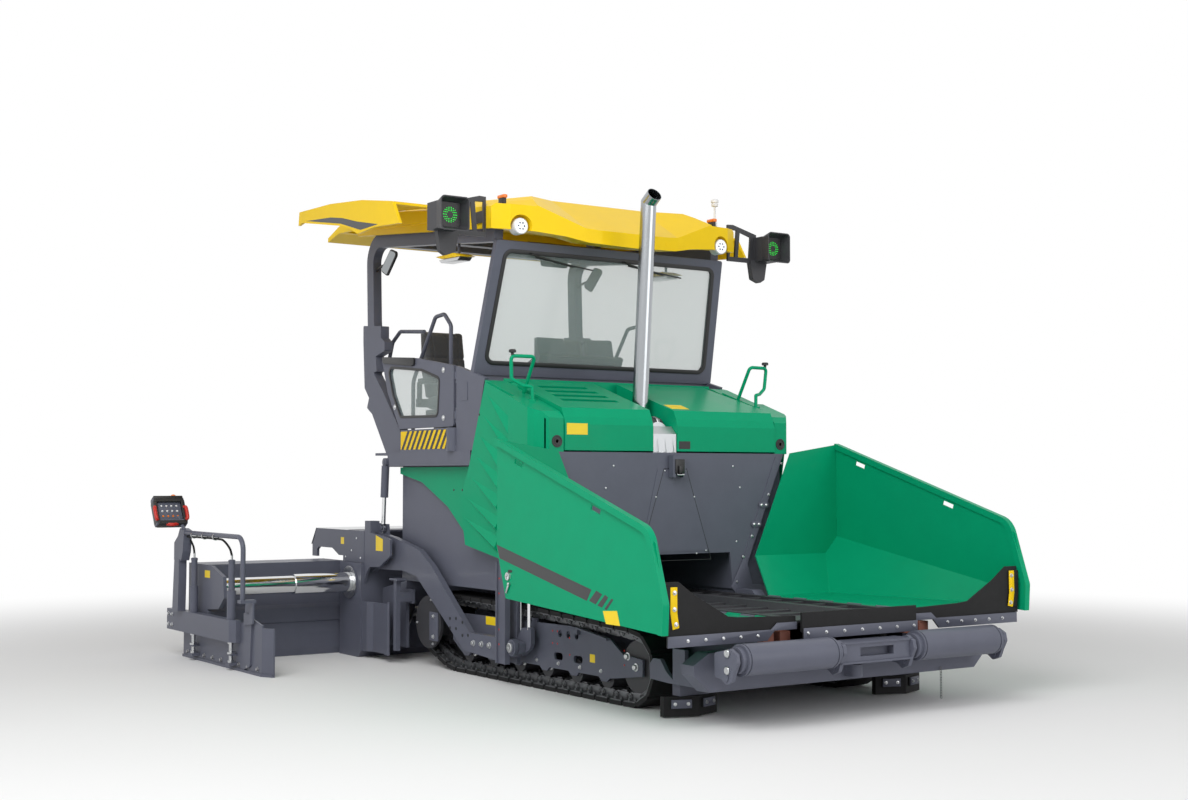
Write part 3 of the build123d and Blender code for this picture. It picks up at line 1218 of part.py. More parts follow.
# ---------------------------------------------------------------- screed
def tow_arm():
    """Arm from the tow point back to the screed, with the lug of the lift cylinder."""
    outline = [(-2050, 1108), (-1621, 1056), (-1166, 967), (-948, 845), (-315, 351), (TOW_X - 70, 352),
               (TOW_X + 60, 335), (TOW_X + 60, 260), (TOW_X - 20, 225), (79, 175), (-411, 208),
               (-1212, 750), (-1470, 782), (-1973, 772), (-2050, 728)]
    arm = prism("y", outline, ARM_IN, ARM_OUT, corner=18)
    arm -= rod((TOW_X, ARM_IN - 1, TOW_Z), (TOW_X, ARM_OUT + 1, TOW_Z), 30 + RUNNING)
    x, z = LIFT_EYE
    lug = prism("y", [(x - 60, 1060), (x - 40, z + 30), (x + 40, z + 30), (x + 60, 1060)],
                ARM_IN, ARM_IN + 18)
    lug += rod((x, ARM_IN + 17, z), (x, LIFT_Y + 20, z), LIFT_PIN)
    side = ARM_OUT + 45
    cheek = prism("y", [(BASE_FRONT + 1, 1100), (-1700, 1066), (-1560, 1040), (-1560, 900), (-1760, 800),
                        (-1950, 790), (-2010, 730), (BASE_FRONT + 1, 640)], side, side + 22, corner=12,
                  only=[1, 2, 3])
    spacer = block((-2040, -1640), (ARM_OUT - 1, side + 1), (880, 1030))
    cap = block((-2040, -1930), (ARM_OUT - 20, side + 22), (1085, 1190))
    return arm + lug + cheek + spacer + cap


def screed_box():
    """Fixed middle part of the screed: box with its heated plate and the tube housings."""
    front, rear, wall = BASE_FRONT, BASE_REAR, 20
    outer = prism("y", [(front, 60), (front, 820), (rear, 820), (rear, 0), (front - 60, 0)],
                  -BASE_HALF, BASE_HALF)
    inner = block((rear + wall, front - wall), (-BASE_HALF + 25, BASE_HALF - 25), (60, 800))
    axis = ((TUBE_X, -BASE_HALF - 1, TUBE_Z), (TUBE_X, BASE_HALF + 1, TUBE_Z))
    inner -= rod(*axis, TUBE_RADII[0])
    base = outer - inner
    for side in (-1, 1):
        low, high = sorted((side * (BASE_HALF - 1), side * (BASE_HALF + 16)))
        base += rod((TUBE_X, low, TUBE_Z), (TUBE_X, high, TUBE_Z), TUBE_RADII[0] + 42)
        low, high = sorted((side * (BASE_HALF - 23), side * (BASE_HALF - 13)))
        base += screed_deflector(low, high, side)
    axis = ((TUBE_X, -BASE_HALF - 20, TUBE_Z), (TUBE_X, BASE_HALF + 20, TUBE_Z))
    return base - rod(*axis, TUBE_RADII[1] + TUBE_FIT)


def screed_deflector(low, high, side):
    """Folded plate that closes the auger space ahead of the screed, with its hinge rod."""
    inset = -side * 36
    y = low if side < 0 else high
    folds = [(BASE_FRONT - 2, y), (-1960, y), (-1905, y + inset), (-1680, y + inset), (-1625, y), (-1560, y)]
    thick = -side * 10
    back = [(x, fold_y + thick) for x, fold_y in reversed(folds)]
    plate = prism("z", folds + back, 62, 490)
    middle = y + thick / 2
    return plate + rod((-1556, middle, 62), (-1556, middle, 510), 13)


def screed_upper():
    """Side plates and walkway above the screed's middle part."""
    solids = []
    inner, outer = BASE_HALF - 50, BASE_HALF - 25
    for side in (-1, 1):
        low, high = sorted((side * inner, side * outer))
        solids.append(prism("y", [(BASE_FRONT, 822), (BASE_FRONT, WALKWAY), (-3040, WALKWAY), (-3130, 950),
                                  (-3130, 842), (-3030, 842), (-3030, 905), (-2990, 930), (-2700, 930),
                                  (-2640, 905), (-2560, 870), (-2470, 870), (-2470, 822)], low, high))
        low, high = sorted((side * (inner - 90), side * (inner + 1)))
        solids.append(block((BASE_REAR, BASE_FRONT), (low, high), (815, 880)))
    solids.append(prism("y", [(BASE_FRONT - 100, WALKWAY), (-3045, WALKWAY), (-3150, 950), (-3150, 930),
                              (-3130, 930), (-3035, WALKWAY - 15), (BASE_FRONT - 100, WALKWAY - 15)],
                        -inner - 1, inner + 1))
    solids.append(block((BASE_FRONT - 150, BASE_FRONT), (-inner, inner), (819, 1000)))
    return join(solids)


WALKWAY = 1100            # top of the walkway on the screed


def tube_stage():
    """Middle stage of the telescoping tube."""
    end = 1820
    return rod((TUBE_X, end - TUBE_LENGTH, TUBE_Z), (TUBE_X, end, TUBE_Z),
               TUBE_RADII[1], TUBE_RADII[2] + TUBE_FIT)


def extension_tube():
    """Inner stage of the telescoping tube, fixed in the extension's bracket."""
    end = EXT_OUT - EXT_BRACKET
    return rod((TUBE_X, end - TUBE_LENGTH + 60, TUBE_Z), (TUBE_X, end, TUBE_Z), TUBE_RADII[2])


def extension_body():
    """Extension unit with its folded front, its plate and the bracket of the tube."""
    front, rear = EXT_FRONT, EXT_REAR
    section = [(front - 40, EXT_TOP), (front - 40, 452), (front - 8, 420), (front - 8, 300),
               (front - 22, 288), (front, 200), (front, 60), (front - 10, 0), (rear + 20, 0),
               (rear, 40), (rear, EXT_TOP)]
    body = prism("y", section, EXT_IN, EXT_OUT)
    hollow = block((rear + 20, front - 60), (EXT_IN + 20, EXT_OUT - 20), (60, EXT_TOP - 20))
    bracket = prism("y", [(front - 40, EXT_TOP - 5), (-2460, EXT_TOP - 5), (-2190, 735), (-2165, 560),
                          (-2290, 460), (front - 40, 440)], EXT_OUT - EXT_BRACKET, EXT_OUT)
    return body - hollow + bracket


def end_gate():
    """End plate on the ground with its angled nose, its beam and the spindle tubes."""
    y = EXT_OUT + 8
    beam_in, beam_out = y + 14, y + 94
    plate = prism("y", [(-3050, 0), (-3050, 390), (-1700, 390), (-1560, 450), (-1290, 400), (-1290, 0)],
                  y, beam_in)
    nose = prism("z", [(-1292, y), (-1292, beam_in), (-1180, y - 36), (-1180, y - 50)], 0, 380)
    shoe = prism("z", [(-3050, y - 4), (-3050, y + 26), (-1290, y + 26), (-1182, y - 26), (-1182, y - 40),
                       (-1290, y - 4)], 0, 22)
    tip = (beam_out + beam_in) / 2
    beam = prism("z", [(REAR_X, beam_in), (REAR_X, beam_out), (-1790, beam_out), (-1735, tip),
                       (-1735, beam_in)], 230, 410)
    solids = [plate, nose, shoe, beam]
    axis = y + 54
    for x, low, high in ((-2700, 410, 860), (-1840, 410, 880)):
        solids.append(rod((x, axis, low - 2), (x, axis, high), 26))
        solids.append(rod((x, axis, low - 2), (x, axis, (low + high) / 2), 36))
        solids.append(rod((x, axis, 60), (x, axis, 232), 16))
        solids.append(block((x - 48, x + 48), (beam_in, axis + 30), (40, 62)))
        solids.append(block((x - 40, x + 40), (beam_in, axis + 22), (120, 132)))
    fin = prism("y", [(-1640, 20), (-1640, 300), (-1600, 560), (-1500, 560), (-1470, 430), (-1500, 60)],
                y + 13, y + 30 - SEAT, corner=20, only=[2, 3, 4, 5])
    solids.append(fin)
    solids.append(block((-2900, -1800), (EXT_OUT, y + 1), (240, 380)))
    return join(solids)


def end_rail():
    """Hoop handrail and the bent post of the outside console."""
    y = EXT_OUT + 62
    hoop = pipe([(-1450, y + 60, 590), (-1450, y + 60, 1093), (-2790, y + 60, 1093), (-2830, y + 60, 960)],
                [110, 50], 20)
    foot = block((-1485, -1415), (y - 40, y + 90), (570, 595))
    foot += block((-1485, -1415), (y - 24, y - 10), (405, 572))
    foot += prism("y", [(-1600, 380), (-1600, 480), (-1416, 480), (-1416, 404)], y - 24, y - 10)
    foot_z = 410 + SEAT
    lower = prism("y", [(-2990, foot_z), (-2850, foot_z), (-2835, 700), (-2835, 860), (-2950, 860),
                        (-2965, 700)], y + 20, y + 90)
    upper = prism("y", [(-2975, 850), (-2800, 850), (-2760, 930), (-2735, 1110), (-2835, 1130), (-2885, 1060),
                        (-2975, 1000)], y + 10, y + 84, corner=14, only=[3, 4, 5])
    return join([hoop, foot, lower, upper])


def screed_console():
    """Remote control unit with its hood and grips, on its post at the end of the screed."""
    y = EXT_OUT + 117
    stem = rod((-2790, y, 1105), (-2850, y + 40, 1230), 16)
    place = Pos(-2880, y + 110, 1265) * Rot(0, -30, 0)
    box = place * (Box(70, 270, 250) - Pos(25, 0, 10) * Box(30, 220, 190))
    top = place * Pos(-5, 0, 132) * Box(84, 250, 24)
    knob = place * Pos(0, -60, 150) * Sphere(24)
    return join([stem, box, top, knob])


save_both("tow_arms", tow_arm())
save("screed_base", join([screed_box(), screed_upper()]))
save_pair("tube_stage", tube_stage())
save_pair("extension_tube", extension_tube())
save_pair("extension_body", extension_body())
save_pair("end_gate", end_gate())
save_pair("end_rail", join([end_rail(), screed_console()]))


# ---------------------------------------------------------------- screed lift cylinders
def lift_barrel():
    x, z = LIFT_TOP
    way = Vector(LIFT_EYE[0] - x, 0, LIFT_EYE[1] - z).normalized()
    top = Vector(x, LIFT_Y, z)
    barrel = rod(top + way * 30, top + way * 305, 34, 19)
    eye = rod((x, LIFT_Y - 16, z), (x, LIFT_Y + 16, z), 36)
    barrel += eye
    return barrel - rod((x, LIFT_Y - 30, z), (x, LIFT_Y + 30, z), LIFT_PIN + RUNNING)


def lift_rod():
    x, z = LIFT_EYE
    way = Vector(LIFT_TOP[0] - x, 0, LIFT_TOP[1] - z).normalized()
    foot = Vector(x, LIFT_Y, z)
    bar = rod(foot + way * 30, foot + way * 305, 18.95)
    bar += rod((x, LIFT_Y - 12, z), (x, LIFT_Y + 12, z), 38)
    return bar - rod((x, LIFT_Y - 30, z), (x, LIFT_Y + 30, z), LIFT_PIN + LIFT_DRIFT)


save_pair("lift_barrel", lift_barrel())
save_pair("lift_rod", lift_rod())
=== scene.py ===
"""Looks of the crawler asphalt paver: materials, fittings, floor, lights and camera.

Fittings are drawn in metres from the same datum plane as the part's source: X forward, Y to the
machine's left, Z up. SHIFT moves them to the part's origin.
"""
import math

import bmesh
import bpy
from mathutils import Matrix, Vector


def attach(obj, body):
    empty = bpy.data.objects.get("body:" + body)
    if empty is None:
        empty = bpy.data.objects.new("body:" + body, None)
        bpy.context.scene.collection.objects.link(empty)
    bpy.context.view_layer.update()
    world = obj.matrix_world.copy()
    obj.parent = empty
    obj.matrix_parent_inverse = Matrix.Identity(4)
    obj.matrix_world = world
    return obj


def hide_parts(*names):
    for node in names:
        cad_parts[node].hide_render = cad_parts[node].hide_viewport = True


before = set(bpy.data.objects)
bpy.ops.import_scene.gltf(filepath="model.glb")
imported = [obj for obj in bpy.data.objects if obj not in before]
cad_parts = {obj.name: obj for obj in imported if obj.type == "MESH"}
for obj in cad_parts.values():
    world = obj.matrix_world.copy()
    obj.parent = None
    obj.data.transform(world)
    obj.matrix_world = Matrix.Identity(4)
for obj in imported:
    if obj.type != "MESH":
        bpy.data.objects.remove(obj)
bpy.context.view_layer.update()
SHIFT = 0.105                    # from the datum plane to the part's origin
SIDES = ((-1, "right"), (1, "left"))
FORWARD, UP = (1, 0, 0), (0, 0, 1)
FILM = 0.0012                    # thickness of labels and painted bands


# -------- materials
def add_node(tree, kind, **values):
    """New shader node with some inputs set, their names written with underscores."""
    node = tree.nodes.new("ShaderNode" + kind)
    for name, value in values.items():
        node.inputs[name.replace("_", " ")].default_value = value
    return node


def material(name, color, rough=0.5, metal=0.0, coat=0.0, grain=0.0, grain_scale=40.0,
             alpha=1.0, emission=0.0, tone=0.0, tone_scale=6.0, rough_spread=0.0, sheen=0.0,
             specular=0.5):
    """Principled material with a fine bump, a soft change of tone and an uneven gloss."""
    mat = bpy.data.materials.new(name)
    mat.use_nodes = True
    tree = mat.node_tree
    link = tree.links.new
    shader = tree.nodes["Principled BSDF"]
    values = {"Base Color": (*color, 1.0), "Roughness": rough, "Metallic": metal,
              "Specular IOR Level": specular, "Coat Weight": coat, "Coat Roughness": 0.08,
              "Alpha": alpha, "Sheen Weight": sheen}
    if emission:
        values.update({"Emission Color": (*color, 1.0), "Emission Strength": emission})
    for socket, value in values.items():
        shader.inputs[socket].default_value = value
    coords = add_node(tree, "TexCoord").outputs["Object"]
    if tone or rough_spread:
        cloud = add_node(tree, "TexNoise", Scale=tone_scale, Detail=6.0, Roughness=0.6)
        link(coords, cloud.inputs["Vector"])
    if tone:
        ramp = add_node(tree, "ValToRGB")
        dark, light = ramp.color_ramp.elements
        dark.position, light.position = 0.3, 0.7
        dark.color = (*[c * (1 - tone) for c in color], 1.0)
        light.color = (*color, 1.0)
        link(cloud.outputs["Fac"], ramp.inputs["Fac"])
        link(ramp.outputs["Color"], shader.inputs["Base Color"])
    if rough_spread:
        spread = add_node(tree, "MapRange", To_Min=rough - rough_spread, To_Max=rough + rough_spread)
        link(cloud.outputs["Fac"], spread.inputs["Value"])
        link(spread.outputs["Result"], shader.inputs["Roughness"])
    if grain:
        noise = add_node(tree, "TexNoise", Scale=grain_scale, Detail=3.0)
        bump = add_node(tree, "Bump", Strength=grain, Distance=0.002)
        link(coords, noise.inputs["Vector"])
        link(noise.outputs["Fac"], bump.inputs["Height"])
        link(bump.outputs["Normal"], shader.inputs["Normal"])
    return mat


def brushed(mat, axis):
    """Add fine lines to a metal's gloss, running along one axis."""
    tree = mat.node_tree
    link = tree.links.new
    rough = tree.nodes["Principled BSDF"].inputs["Roughness"]
    base = rough.default_value
    coords = add_node(tree, "TexCoord")
    stretch = add_node(tree, "Mapping", Scale=[1.5 if index == axis else 240.0 for index in range(3)])
    lines = add_node(tree, "TexNoise", Scale=1.0, Detail=2.0)
    spread = add_node(tree, "MapRange", To_Min=base * 0.75, To_Max=base * 1.3)
    link(coords.outputs["Object"], stretch.inputs["Vector"])
    link(stretch.outputs["Vector"], lines.inputs["Vector"])
    link(lines.outputs["Fac"], spread.inputs["Value"])
    link(spread.outputs["Result"], rough)
    return mat


GREEN = material("green_paint", (0.002, 0.335, 0.16), 0.34, coat=0.05, specular=0.08, tone=0.05,
                 rough_spread=0.05, grain=0.04, grain_scale=500)
YELLOW = material("roof_yellow", (0.93, 0.62, 0.01), 0.36, coat=0.05, specular=0.1, tone=0.04,
                  rough_spread=0.05, grain=0.05, grain_scale=300)
GREY = material("grey_paint", (0.12, 0.127, 0.166), 0.42, coat=0.06, specular=0.2, tone=0.08,
                rough_spread=0.06, grain=0.05, grain_scale=450)
DARK = material("dark_paint", (0.04, 0.04, 0.046), 0.5, tone=0.15, rough_spread=0.08, grain=0.08,
                grain_scale=200)
BLACK = material("black_plastic", (0.012, 0.012, 0.013), 0.42, grain=0.2, grain_scale=600, tone=0.1)
RUBBER = material("rubber", (0.012, 0.012, 0.013), 0.7, specular=0.3, grain=0.35, grain_scale=160,
                  tone=0.25, tone_scale=14)
CHAIN = material("chain_steel", (0.17, 0.175, 0.185), 0.36, metal=0.75, grain=0.25, grain_scale=90,
                 tone=0.3, tone_scale=20)
STEEL = brushed(material("bare_steel", (0.4, 0.4, 0.41), 0.33, metal=1.0, tone=0.12), 0)
ZINC = material("zinc_plated", (0.62, 0.63, 0.64), 0.28, metal=1.0, tone=0.1, tone_scale=60)
CHROME = brushed(material("chrome", (0.74, 0.75, 0.76), 0.09, metal=1.0), 1)
SATIN = brushed(material("satin_tube", (0.4, 0.42, 0.44), 0.22, metal=1.0), 2)
SHIELD = material("heat_shield", (0.55, 0.56, 0.58), 0.36, metal=0.85, grain=0.15, grain_scale=120)
FABRIC = material("seat_cover", (0.075, 0.077, 0.083), 0.75, grain=0.7, grain_scale=900, tone=0.15,
                  tone_scale=30, sheen=0.3)
GLASS = material("glass", (0.36, 0.44, 0.43), 0.03, alpha=0.34, coat=0.2)
LABEL = material("label_yellow", (0.95, 0.68, 0.01), 0.4, tone=0.05)
BAND = material("band_dark", (0.022, 0.024, 0.026), 0.38, coat=0.3, tone=0.1)
WHITE = material("white_plastic", (0.8, 0.8, 0.8), 0.4, tone=0.04)
LENS = material("lamp_lens", (0.92, 0.95, 1.0), 0.12, coat=1.0, emission=0.35)
LED = material("led_green", (0.01, 0.6, 0.04), 0.4, emission=1.1)
ORANGE = material("orange_plastic", (0.85, 0.2, 0.01), 0.3, coat=0.4)
RED = material("red_plastic", (0.55, 0.02, 0.01), 0.4)
MIRROR = material("mirror_glass", (0.3, 0.32, 0.33), 0.04, metal=1.0)
OXIDE = material("red_oxide", (0.36, 0.13, 0.09), 0.6, tone=0.2)

# looks of the CAD nodes by their names without the side, grey paint where none is named
LOOKS = {
    GREEN: ("hood_lid", "hood_frame", "hood_handles", "side_panels", "hopper_wing"),
    YELLOW: ("roof_shell", "side_shades"),
    DARK: ("running_gear", "conveyor_deck", "engine_block", "operator_console", "display_boxes"),
    RUBBER: ("track", "scrapers", "wing_apron"),
    STEEL: ("auger",),
    SHIELD: ("hood_centre",),
    CHROME: ("tube_stage", "extension_tube", "lift_rod"),
    SATIN: ("exhaust_stack",),
    FABRIC: ("seats",),
    GLASS: ("door_glass", "windscreen_glass"),
}
NODE_LOOKS = {kind: look for look, kinds in LOOKS.items() for kind in kinds}
for name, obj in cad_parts.items():
    obj.data.materials.clear()
    kind = name.removesuffix("_left").removesuffix("_right")
    obj.data.materials.append(NODE_LOOKS.get(kind, GREY))


# -------- views and outlines
def side_view(a, b, c):
    """Outline in X and Z, thickness along Y."""
    return Vector((a, c, b))


def front_view(a, b, c):
    """Outline in Y and Z, thickness along X."""
    return Vector((c, a, b))


def plan_view(a, b, c):
    """Outline in X and Y, thickness along Z."""
    return Vector((a, b, c))


def tilted(origin, along, up):
    """Outline in a plane through origin, thickness along its normal."""
    origin, along, up = Vector(origin), Vector(along).normalized(), Vector(up).normalized()
    normal = along.cross(up)
    return lambda a, b, c: origin + along * a + up * b + normal * c


def on_circle(view, centre, radius, degrees, depth):
    """Point on a circle drawn in a view."""
    turn = math.radians(degrees)
    return view(centre[0] + radius * math.cos(turn), centre[1] + radius * math.sin(turn), depth)


def mirrored(outline, side):
    """Outline in Y and Z on one side of the machine."""
    return [(a * side, b) for a, b in outline]


def rectangle(across, up):
    """Outline from its two values across and its two values up."""
    return [(across[0], up[0]), (across[1], up[0]), (across[1], up[1]), (across[0], up[1])]


def around(middle, half):
    """Range on both sides of a middle."""
    return middle - half, middle + half


def corners(outline):
    """Each point of an outline between the one before it and the one after it."""
    points = [Vector(point) for point in outline]
    return zip(points[-1:] + points[:-1], points, points[1:] + points[:1])


def inset(outline, width):
    """Outline moved inwards by a width, its corners kept."""
    area = sum(point.cross(after) for _, point, after in corners(outline))
    if area < 0:
        width = -width
    moved = []
    for before, point, after in corners(outline):
        one, two = (point - before).normalized(), (after - point).normalized()
        normal = Vector((-one.y - two.y, one.x + two.x))
        moved.append(point + normal * (2 * width / normal.length_squared))
    return moved


def rounded(outline, radius, steps=6):
    """Outline with each corner rounded."""
    curve = []
    for before, point, after in corners(outline):
        one, two = (before - point).normalized(), (after - point).normalized()
        half = one.angle(two) / 2
        middle = point + (one + two).normalized() * (radius / math.sin(half))
        start = point + one * (radius / math.tan(half)) - middle
        end = point + two * (radius / math.tan(half)) - middle
        turn = start.angle_signed(end)
        for step in range(steps + 1):
            curve.append(middle + Matrix.Rotation(-turn * step / steps, 2) @ start)
    return curve


def round_ends(half, radius, sides=8):
    """Bar outline with round ends, half is from its middle to each end's centre."""
    return [(sign * half + radius * math.cos(a), radius * math.sin(a))
            for sign, begin in ((1, -math.pi / 2), (-1, math.pi / 2))
            for a in (begin + math.pi * step / sides for step in range(sides + 1))]


def smooth_path(points, steps):
    """Points along a Catmull-Rom curve through the given ones."""
    ends = [points[0] * 2 - points[1]] + points + [points[-1] * 2 - points[-2]]
    path = []
    for a, b, c, d in zip(ends, ends[1:], ends[2:], ends[3:]):
        for step in range(steps):
            t = step / steps
            path.append(0.5 * (2 * b + (c - a) * t + (2 * a - 5 * b + 4 * c - d) * t * t +
                               (3 * b - a - 3 * c + d) * t ** 3))
    path.append(points[-1])
    return path


# -------- mesh builders
def hoop(centre, one, two, radius, sides):
    """Ring of points round a centre, in the plane of two directions."""
    turns = [2 * math.pi * index / sides for index in range(sides)]
    return [centre + (one * math.cos(a) + two * math.sin(a)) * radius for a in turns]


def skin(rings, ends="capped"):
    """Mesh from each ring of points to the next, its ends capped, joined or open."""
    part = bmesh.new()
    rings = [[part.verts.new(point) for point in ring] for ring in rings]
    if ends == "capped":
        part.faces.new(rings[0])
        part.faces.new(rings[-1])
    if ends == "joined":
        rings.append(rings[0])
    for first, second in zip(rings, rings[1:]):
        for index in range(len(first)):
            part.faces.new((first[index - 1], first[index], second[index], second[index - 1]))
    return part


def to_data(name, mesh):
    """Turn an edited mesh into mesh data."""
    data = bpy.data.meshes.new(name)
    mesh.to_mesh(data)
    mesh.free()
    return data


def add_object(name, data):
    """New object in the scene."""
    obj = bpy.data.objects.new(name, data)
    bpy.context.collection.objects.link(obj)
    return obj


class Group:
    """Shapes of one look on one body, gathered into one object."""

    def __init__(self, name, look, body):
        self.name, self.look, self.body = name, look, body
        self.mesh = bmesh.new()

    def take(self, part, bevel=0.0):
        """Add a shape, with its sharp edges rounded first."""
        bmesh.ops.recalc_face_normals(part, faces=part.faces)
        if bevel:
            sharp = [edge for edge in part.edges if edge.calc_face_angle(0) > 0.5]
            bmesh.ops.bevel(part, geom=sharp, offset=bevel, segments=2, affect="EDGES",
                            profile=0.5, clamp_overlap=True)
        data = to_data("part", part)
        self.mesh.from_mesh(data)
        bpy.data.meshes.remove(data)

    def slab(self, outline, place, low, high, bevel=0.001):
        """Plate with an outline, from low to high along its thickness."""
        self.take(skin([[place(a, b, c) for a, b in outline] for c in (low, high)]), bevel)

    def ring(self, outline, width, place, low, high, bevel=0.001):
        """Closed band of the given width inside an outline."""
        inner = inset(outline, width)
        rings = [[place(a, b, c) for a, b in line]
                 for line, c in ((outline, low), (outline, high), (inner, high), (inner, low))]
        self.take(skin(rings, "joined"), bevel)

    def stamp(self, data, matrix):
        """Add a copy of a finished mesh, placed by a matrix."""
        copy = data.copy()
        copy.transform(matrix)
        self.mesh.from_mesh(copy)
        bpy.data.meshes.remove(copy)

    def box(self, x, y, z, bevel=0.003):
        """Block between its two values in x, y and z."""
        self.slab(rectangle(x, y), plan_view, *z, bevel)

    def turned(self, start, way, profile, sides=24):
        """Turned shape: profile is a list of distance along way and radius."""
        start, way = Vector(start), Vector(way).normalized()
        across = way.orthogonal().normalized()
        rings = [hoop(start + way * distance, across, way.cross(across), max(radius, 1e-5), sides)
                 for distance, radius in profile]
        self.take(skin(rings, "open" if profile[0] == profile[-1] else "capped"))

    def rod(self, start, end, radius, sides=20, edge=0.0015):
        """Round bar with its ends' edges broken."""
        way = Vector(end) - Vector(start)
        self.turned(start, way, [(0, radius - edge), (edge, radius), (way.length - edge, radius),
                                 (way.length, radius - edge)], sides)

    def bolt(self, place, way, size=0.012):
        """Washer and hexagon head, size is half the head's width."""
        self.turned(place, way, [(0, size * 1.35), (size * 0.25, size * 1.35),
                                 (size * 0.3, size * 1.2)], 20)
        self.turned(Vector(place) + Vector(way).normalized() * size * 0.28, way,
                    [(0, size), (size * 0.75, size), (size * 0.95, size * 0.8)], 6)

    def dome(self, place, way, radius):
        """Round button head."""
        turns = [math.pi / 2 * index / 5 for index in range(6)]
        self.turned(place, way, [(radius * 0.5 * math.sin(a), radius * math.cos(a)) for a in turns], 20)

    def tube(self, points, radius, sides=12, steps=8):
        """Round tube through points, smoothly bent."""
        path = smooth_path([Vector(point) for point in points], steps)
        rings = []
        normal = (path[1] - path[0]).normalized().orthogonal().normalized()
        for index, point in enumerate(path):
            way = (path[min(index + 1, len(path) - 1)] - path[max(index - 1, 0)]).normalized()
            normal = (normal - way * normal.dot(way)).normalized()
            rings.append(hoop(point, normal, way.cross(normal), radius, sides))
        self.take(skin(rings))

    def done(self):
        """Make the object, on its body."""
        data = to_data(self.name, self.mesh)
        data.transform(Matrix.Translation((SHIFT, 0, 0)))
        for face in data.polygons:
            face.use_smooth = True
        data.set_sharp_from_angle(angle=math.radians(32))
        data.materials.append(self.look)
        piece = add_object(self.name, data)
        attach(piece, self.body)


GROUPS = {}


def group(name, look, body="tractor"):
    """The group of that name, look and body, begun where there is none."""
    key = (name, look, body)
    if key not in GROUPS:
        GROUPS[key] = Group(name + "." + look.name + "." + body, look, body)
    return GROUPS[key]


def film(name, look, outline, view, face, out, body="tractor"):
    """Thin blank film on a face, out is 1 or -1 for the way that the face looks."""
    group(name, look, body).slab(outline, view, face, face + out * FILM, 0)


# -------- track chains
TRACK_MIDDLE = 0.92
SHOE_COUNT = 44
# x, z and radius of the loop's outer face round each wheel, from the sprocket over the top
TRACK_WHEELS = ((-1.12, 0.372, 0.25), (0.4, 0.483, 0.12), (1.71, 0.27, 0.27), (-0.8, 0.12, 0.12))
PIN_DEPTH = 0.06                 # link pins, below the loop's outer face
PLATE_DEPTH = 0.039              # inner face of a shoe's plate, below the loop's outer face


def loop_line():
    """Closed line of x, z points round the loop's outer face."""
    ways = []
    for (x, z, radius), (x_2, z_2, radius_2) in zip(TRACK_WHEELS, TRACK_WHEELS[1:] + TRACK_WHEELS[:1]):
        lean = math.asin((radius_2 - radius) / math.hypot(x_2 - x, z_2 - z))
        ways.append(math.atan2(z_2 - z, x_2 - x) + lean)
    line = []
    for index, (x, z, radius) in enumerate(TRACK_WHEELS):
        turn = (ways[index - 1] - ways[index]) % (2 * math.pi)
        steps = max(2, int(turn / 0.04))
        for step in range(steps + 1):
            angle = ways[index - 1] - turn * step / steps + math.pi / 2
            line.append(Vector((x + radius * math.cos(angle), z + radius * math.sin(angle))))
    return line + line[:1]


def shoe_points():
    """Evenly spaced points on the loop, where one shoe meets the next."""
    line = loop_line()
    pitch = sum((b - a).length for a, b in zip(line, line[1:])) / SHOE_COUNT
    points, passed = [], 0.0
    for a, b in zip(line, line[1:]):
        length = (b - a).length
        while len(points) < SHOE_COUNT and len(points) * pitch <= passed + length:
            points.append(a.lerp(b, (len(points) * pitch - passed) / length))
        passed += length
    return points


def shoe_hardware():
    """Links, pins, plate and bolts of one shoe: X along the chain, Z out of the loop."""
    shoe = Group("shoe", CHAIN, "tractor")
    shoe.box((-0.066, 0.066), (-0.15, 0.15), (-PLATE_DEPTH, -0.03), 0.002)
    link = [(a, b - PIN_DEPTH) for a, b in round_ends(0.058, 0.03, 7)]
    for side in (-1, 1):
        shoe.slab(link, side_view, side * 0.075, side * 0.087, 0.002)
        shoe.slab(link, side_view, side * 0.033, side * 0.045, 0)
        for a in (-0.063, 0.063):
            shoe.turned((a, side * 0.087, -PIN_DEPTH), (0, side, 0),
                        [(0, 0.023), (0.007, 0.022), (0.007, 0.012), (0.011, 0.011)], 14)
        shoe.box((-0.03, 0.03), (side * 0.05, side * 0.07), (-0.098, -0.08), 0.004)
        for a in (-0.036, 0.036):
            shoe.bolt((a, side * 0.118, -PLATE_DEPTH), (0, 0, -1), 0.011)
    return to_data("shoe", shoe.mesh)


SHOE = shoe_hardware()
SHOE_POINTS = shoe_points()
for side, _ in SIDES:
    for start, end in zip(SHOE_POINTS, SHOE_POINTS[1:] + SHOE_POINTS[:1]):
        along, middle = (end - start).normalized(), (start + end) / 2
        place = Matrix(((along.x, 0, -along.y, middle.x), (0, 1, 0, side * TRACK_MIDDLE),
                        (along.y, 0, along.x, middle.y), (0, 0, 0, 1)))
        group("chain_links", CHAIN).stamp(SHOE, place)


# -------- track frames
FRAME_FACE = 1.033               # outer face of a track frame
DRIVE_FACE, COVER_FACE = 1.112, 1.12     # outer faces of the sprocket's drive and its cover plate
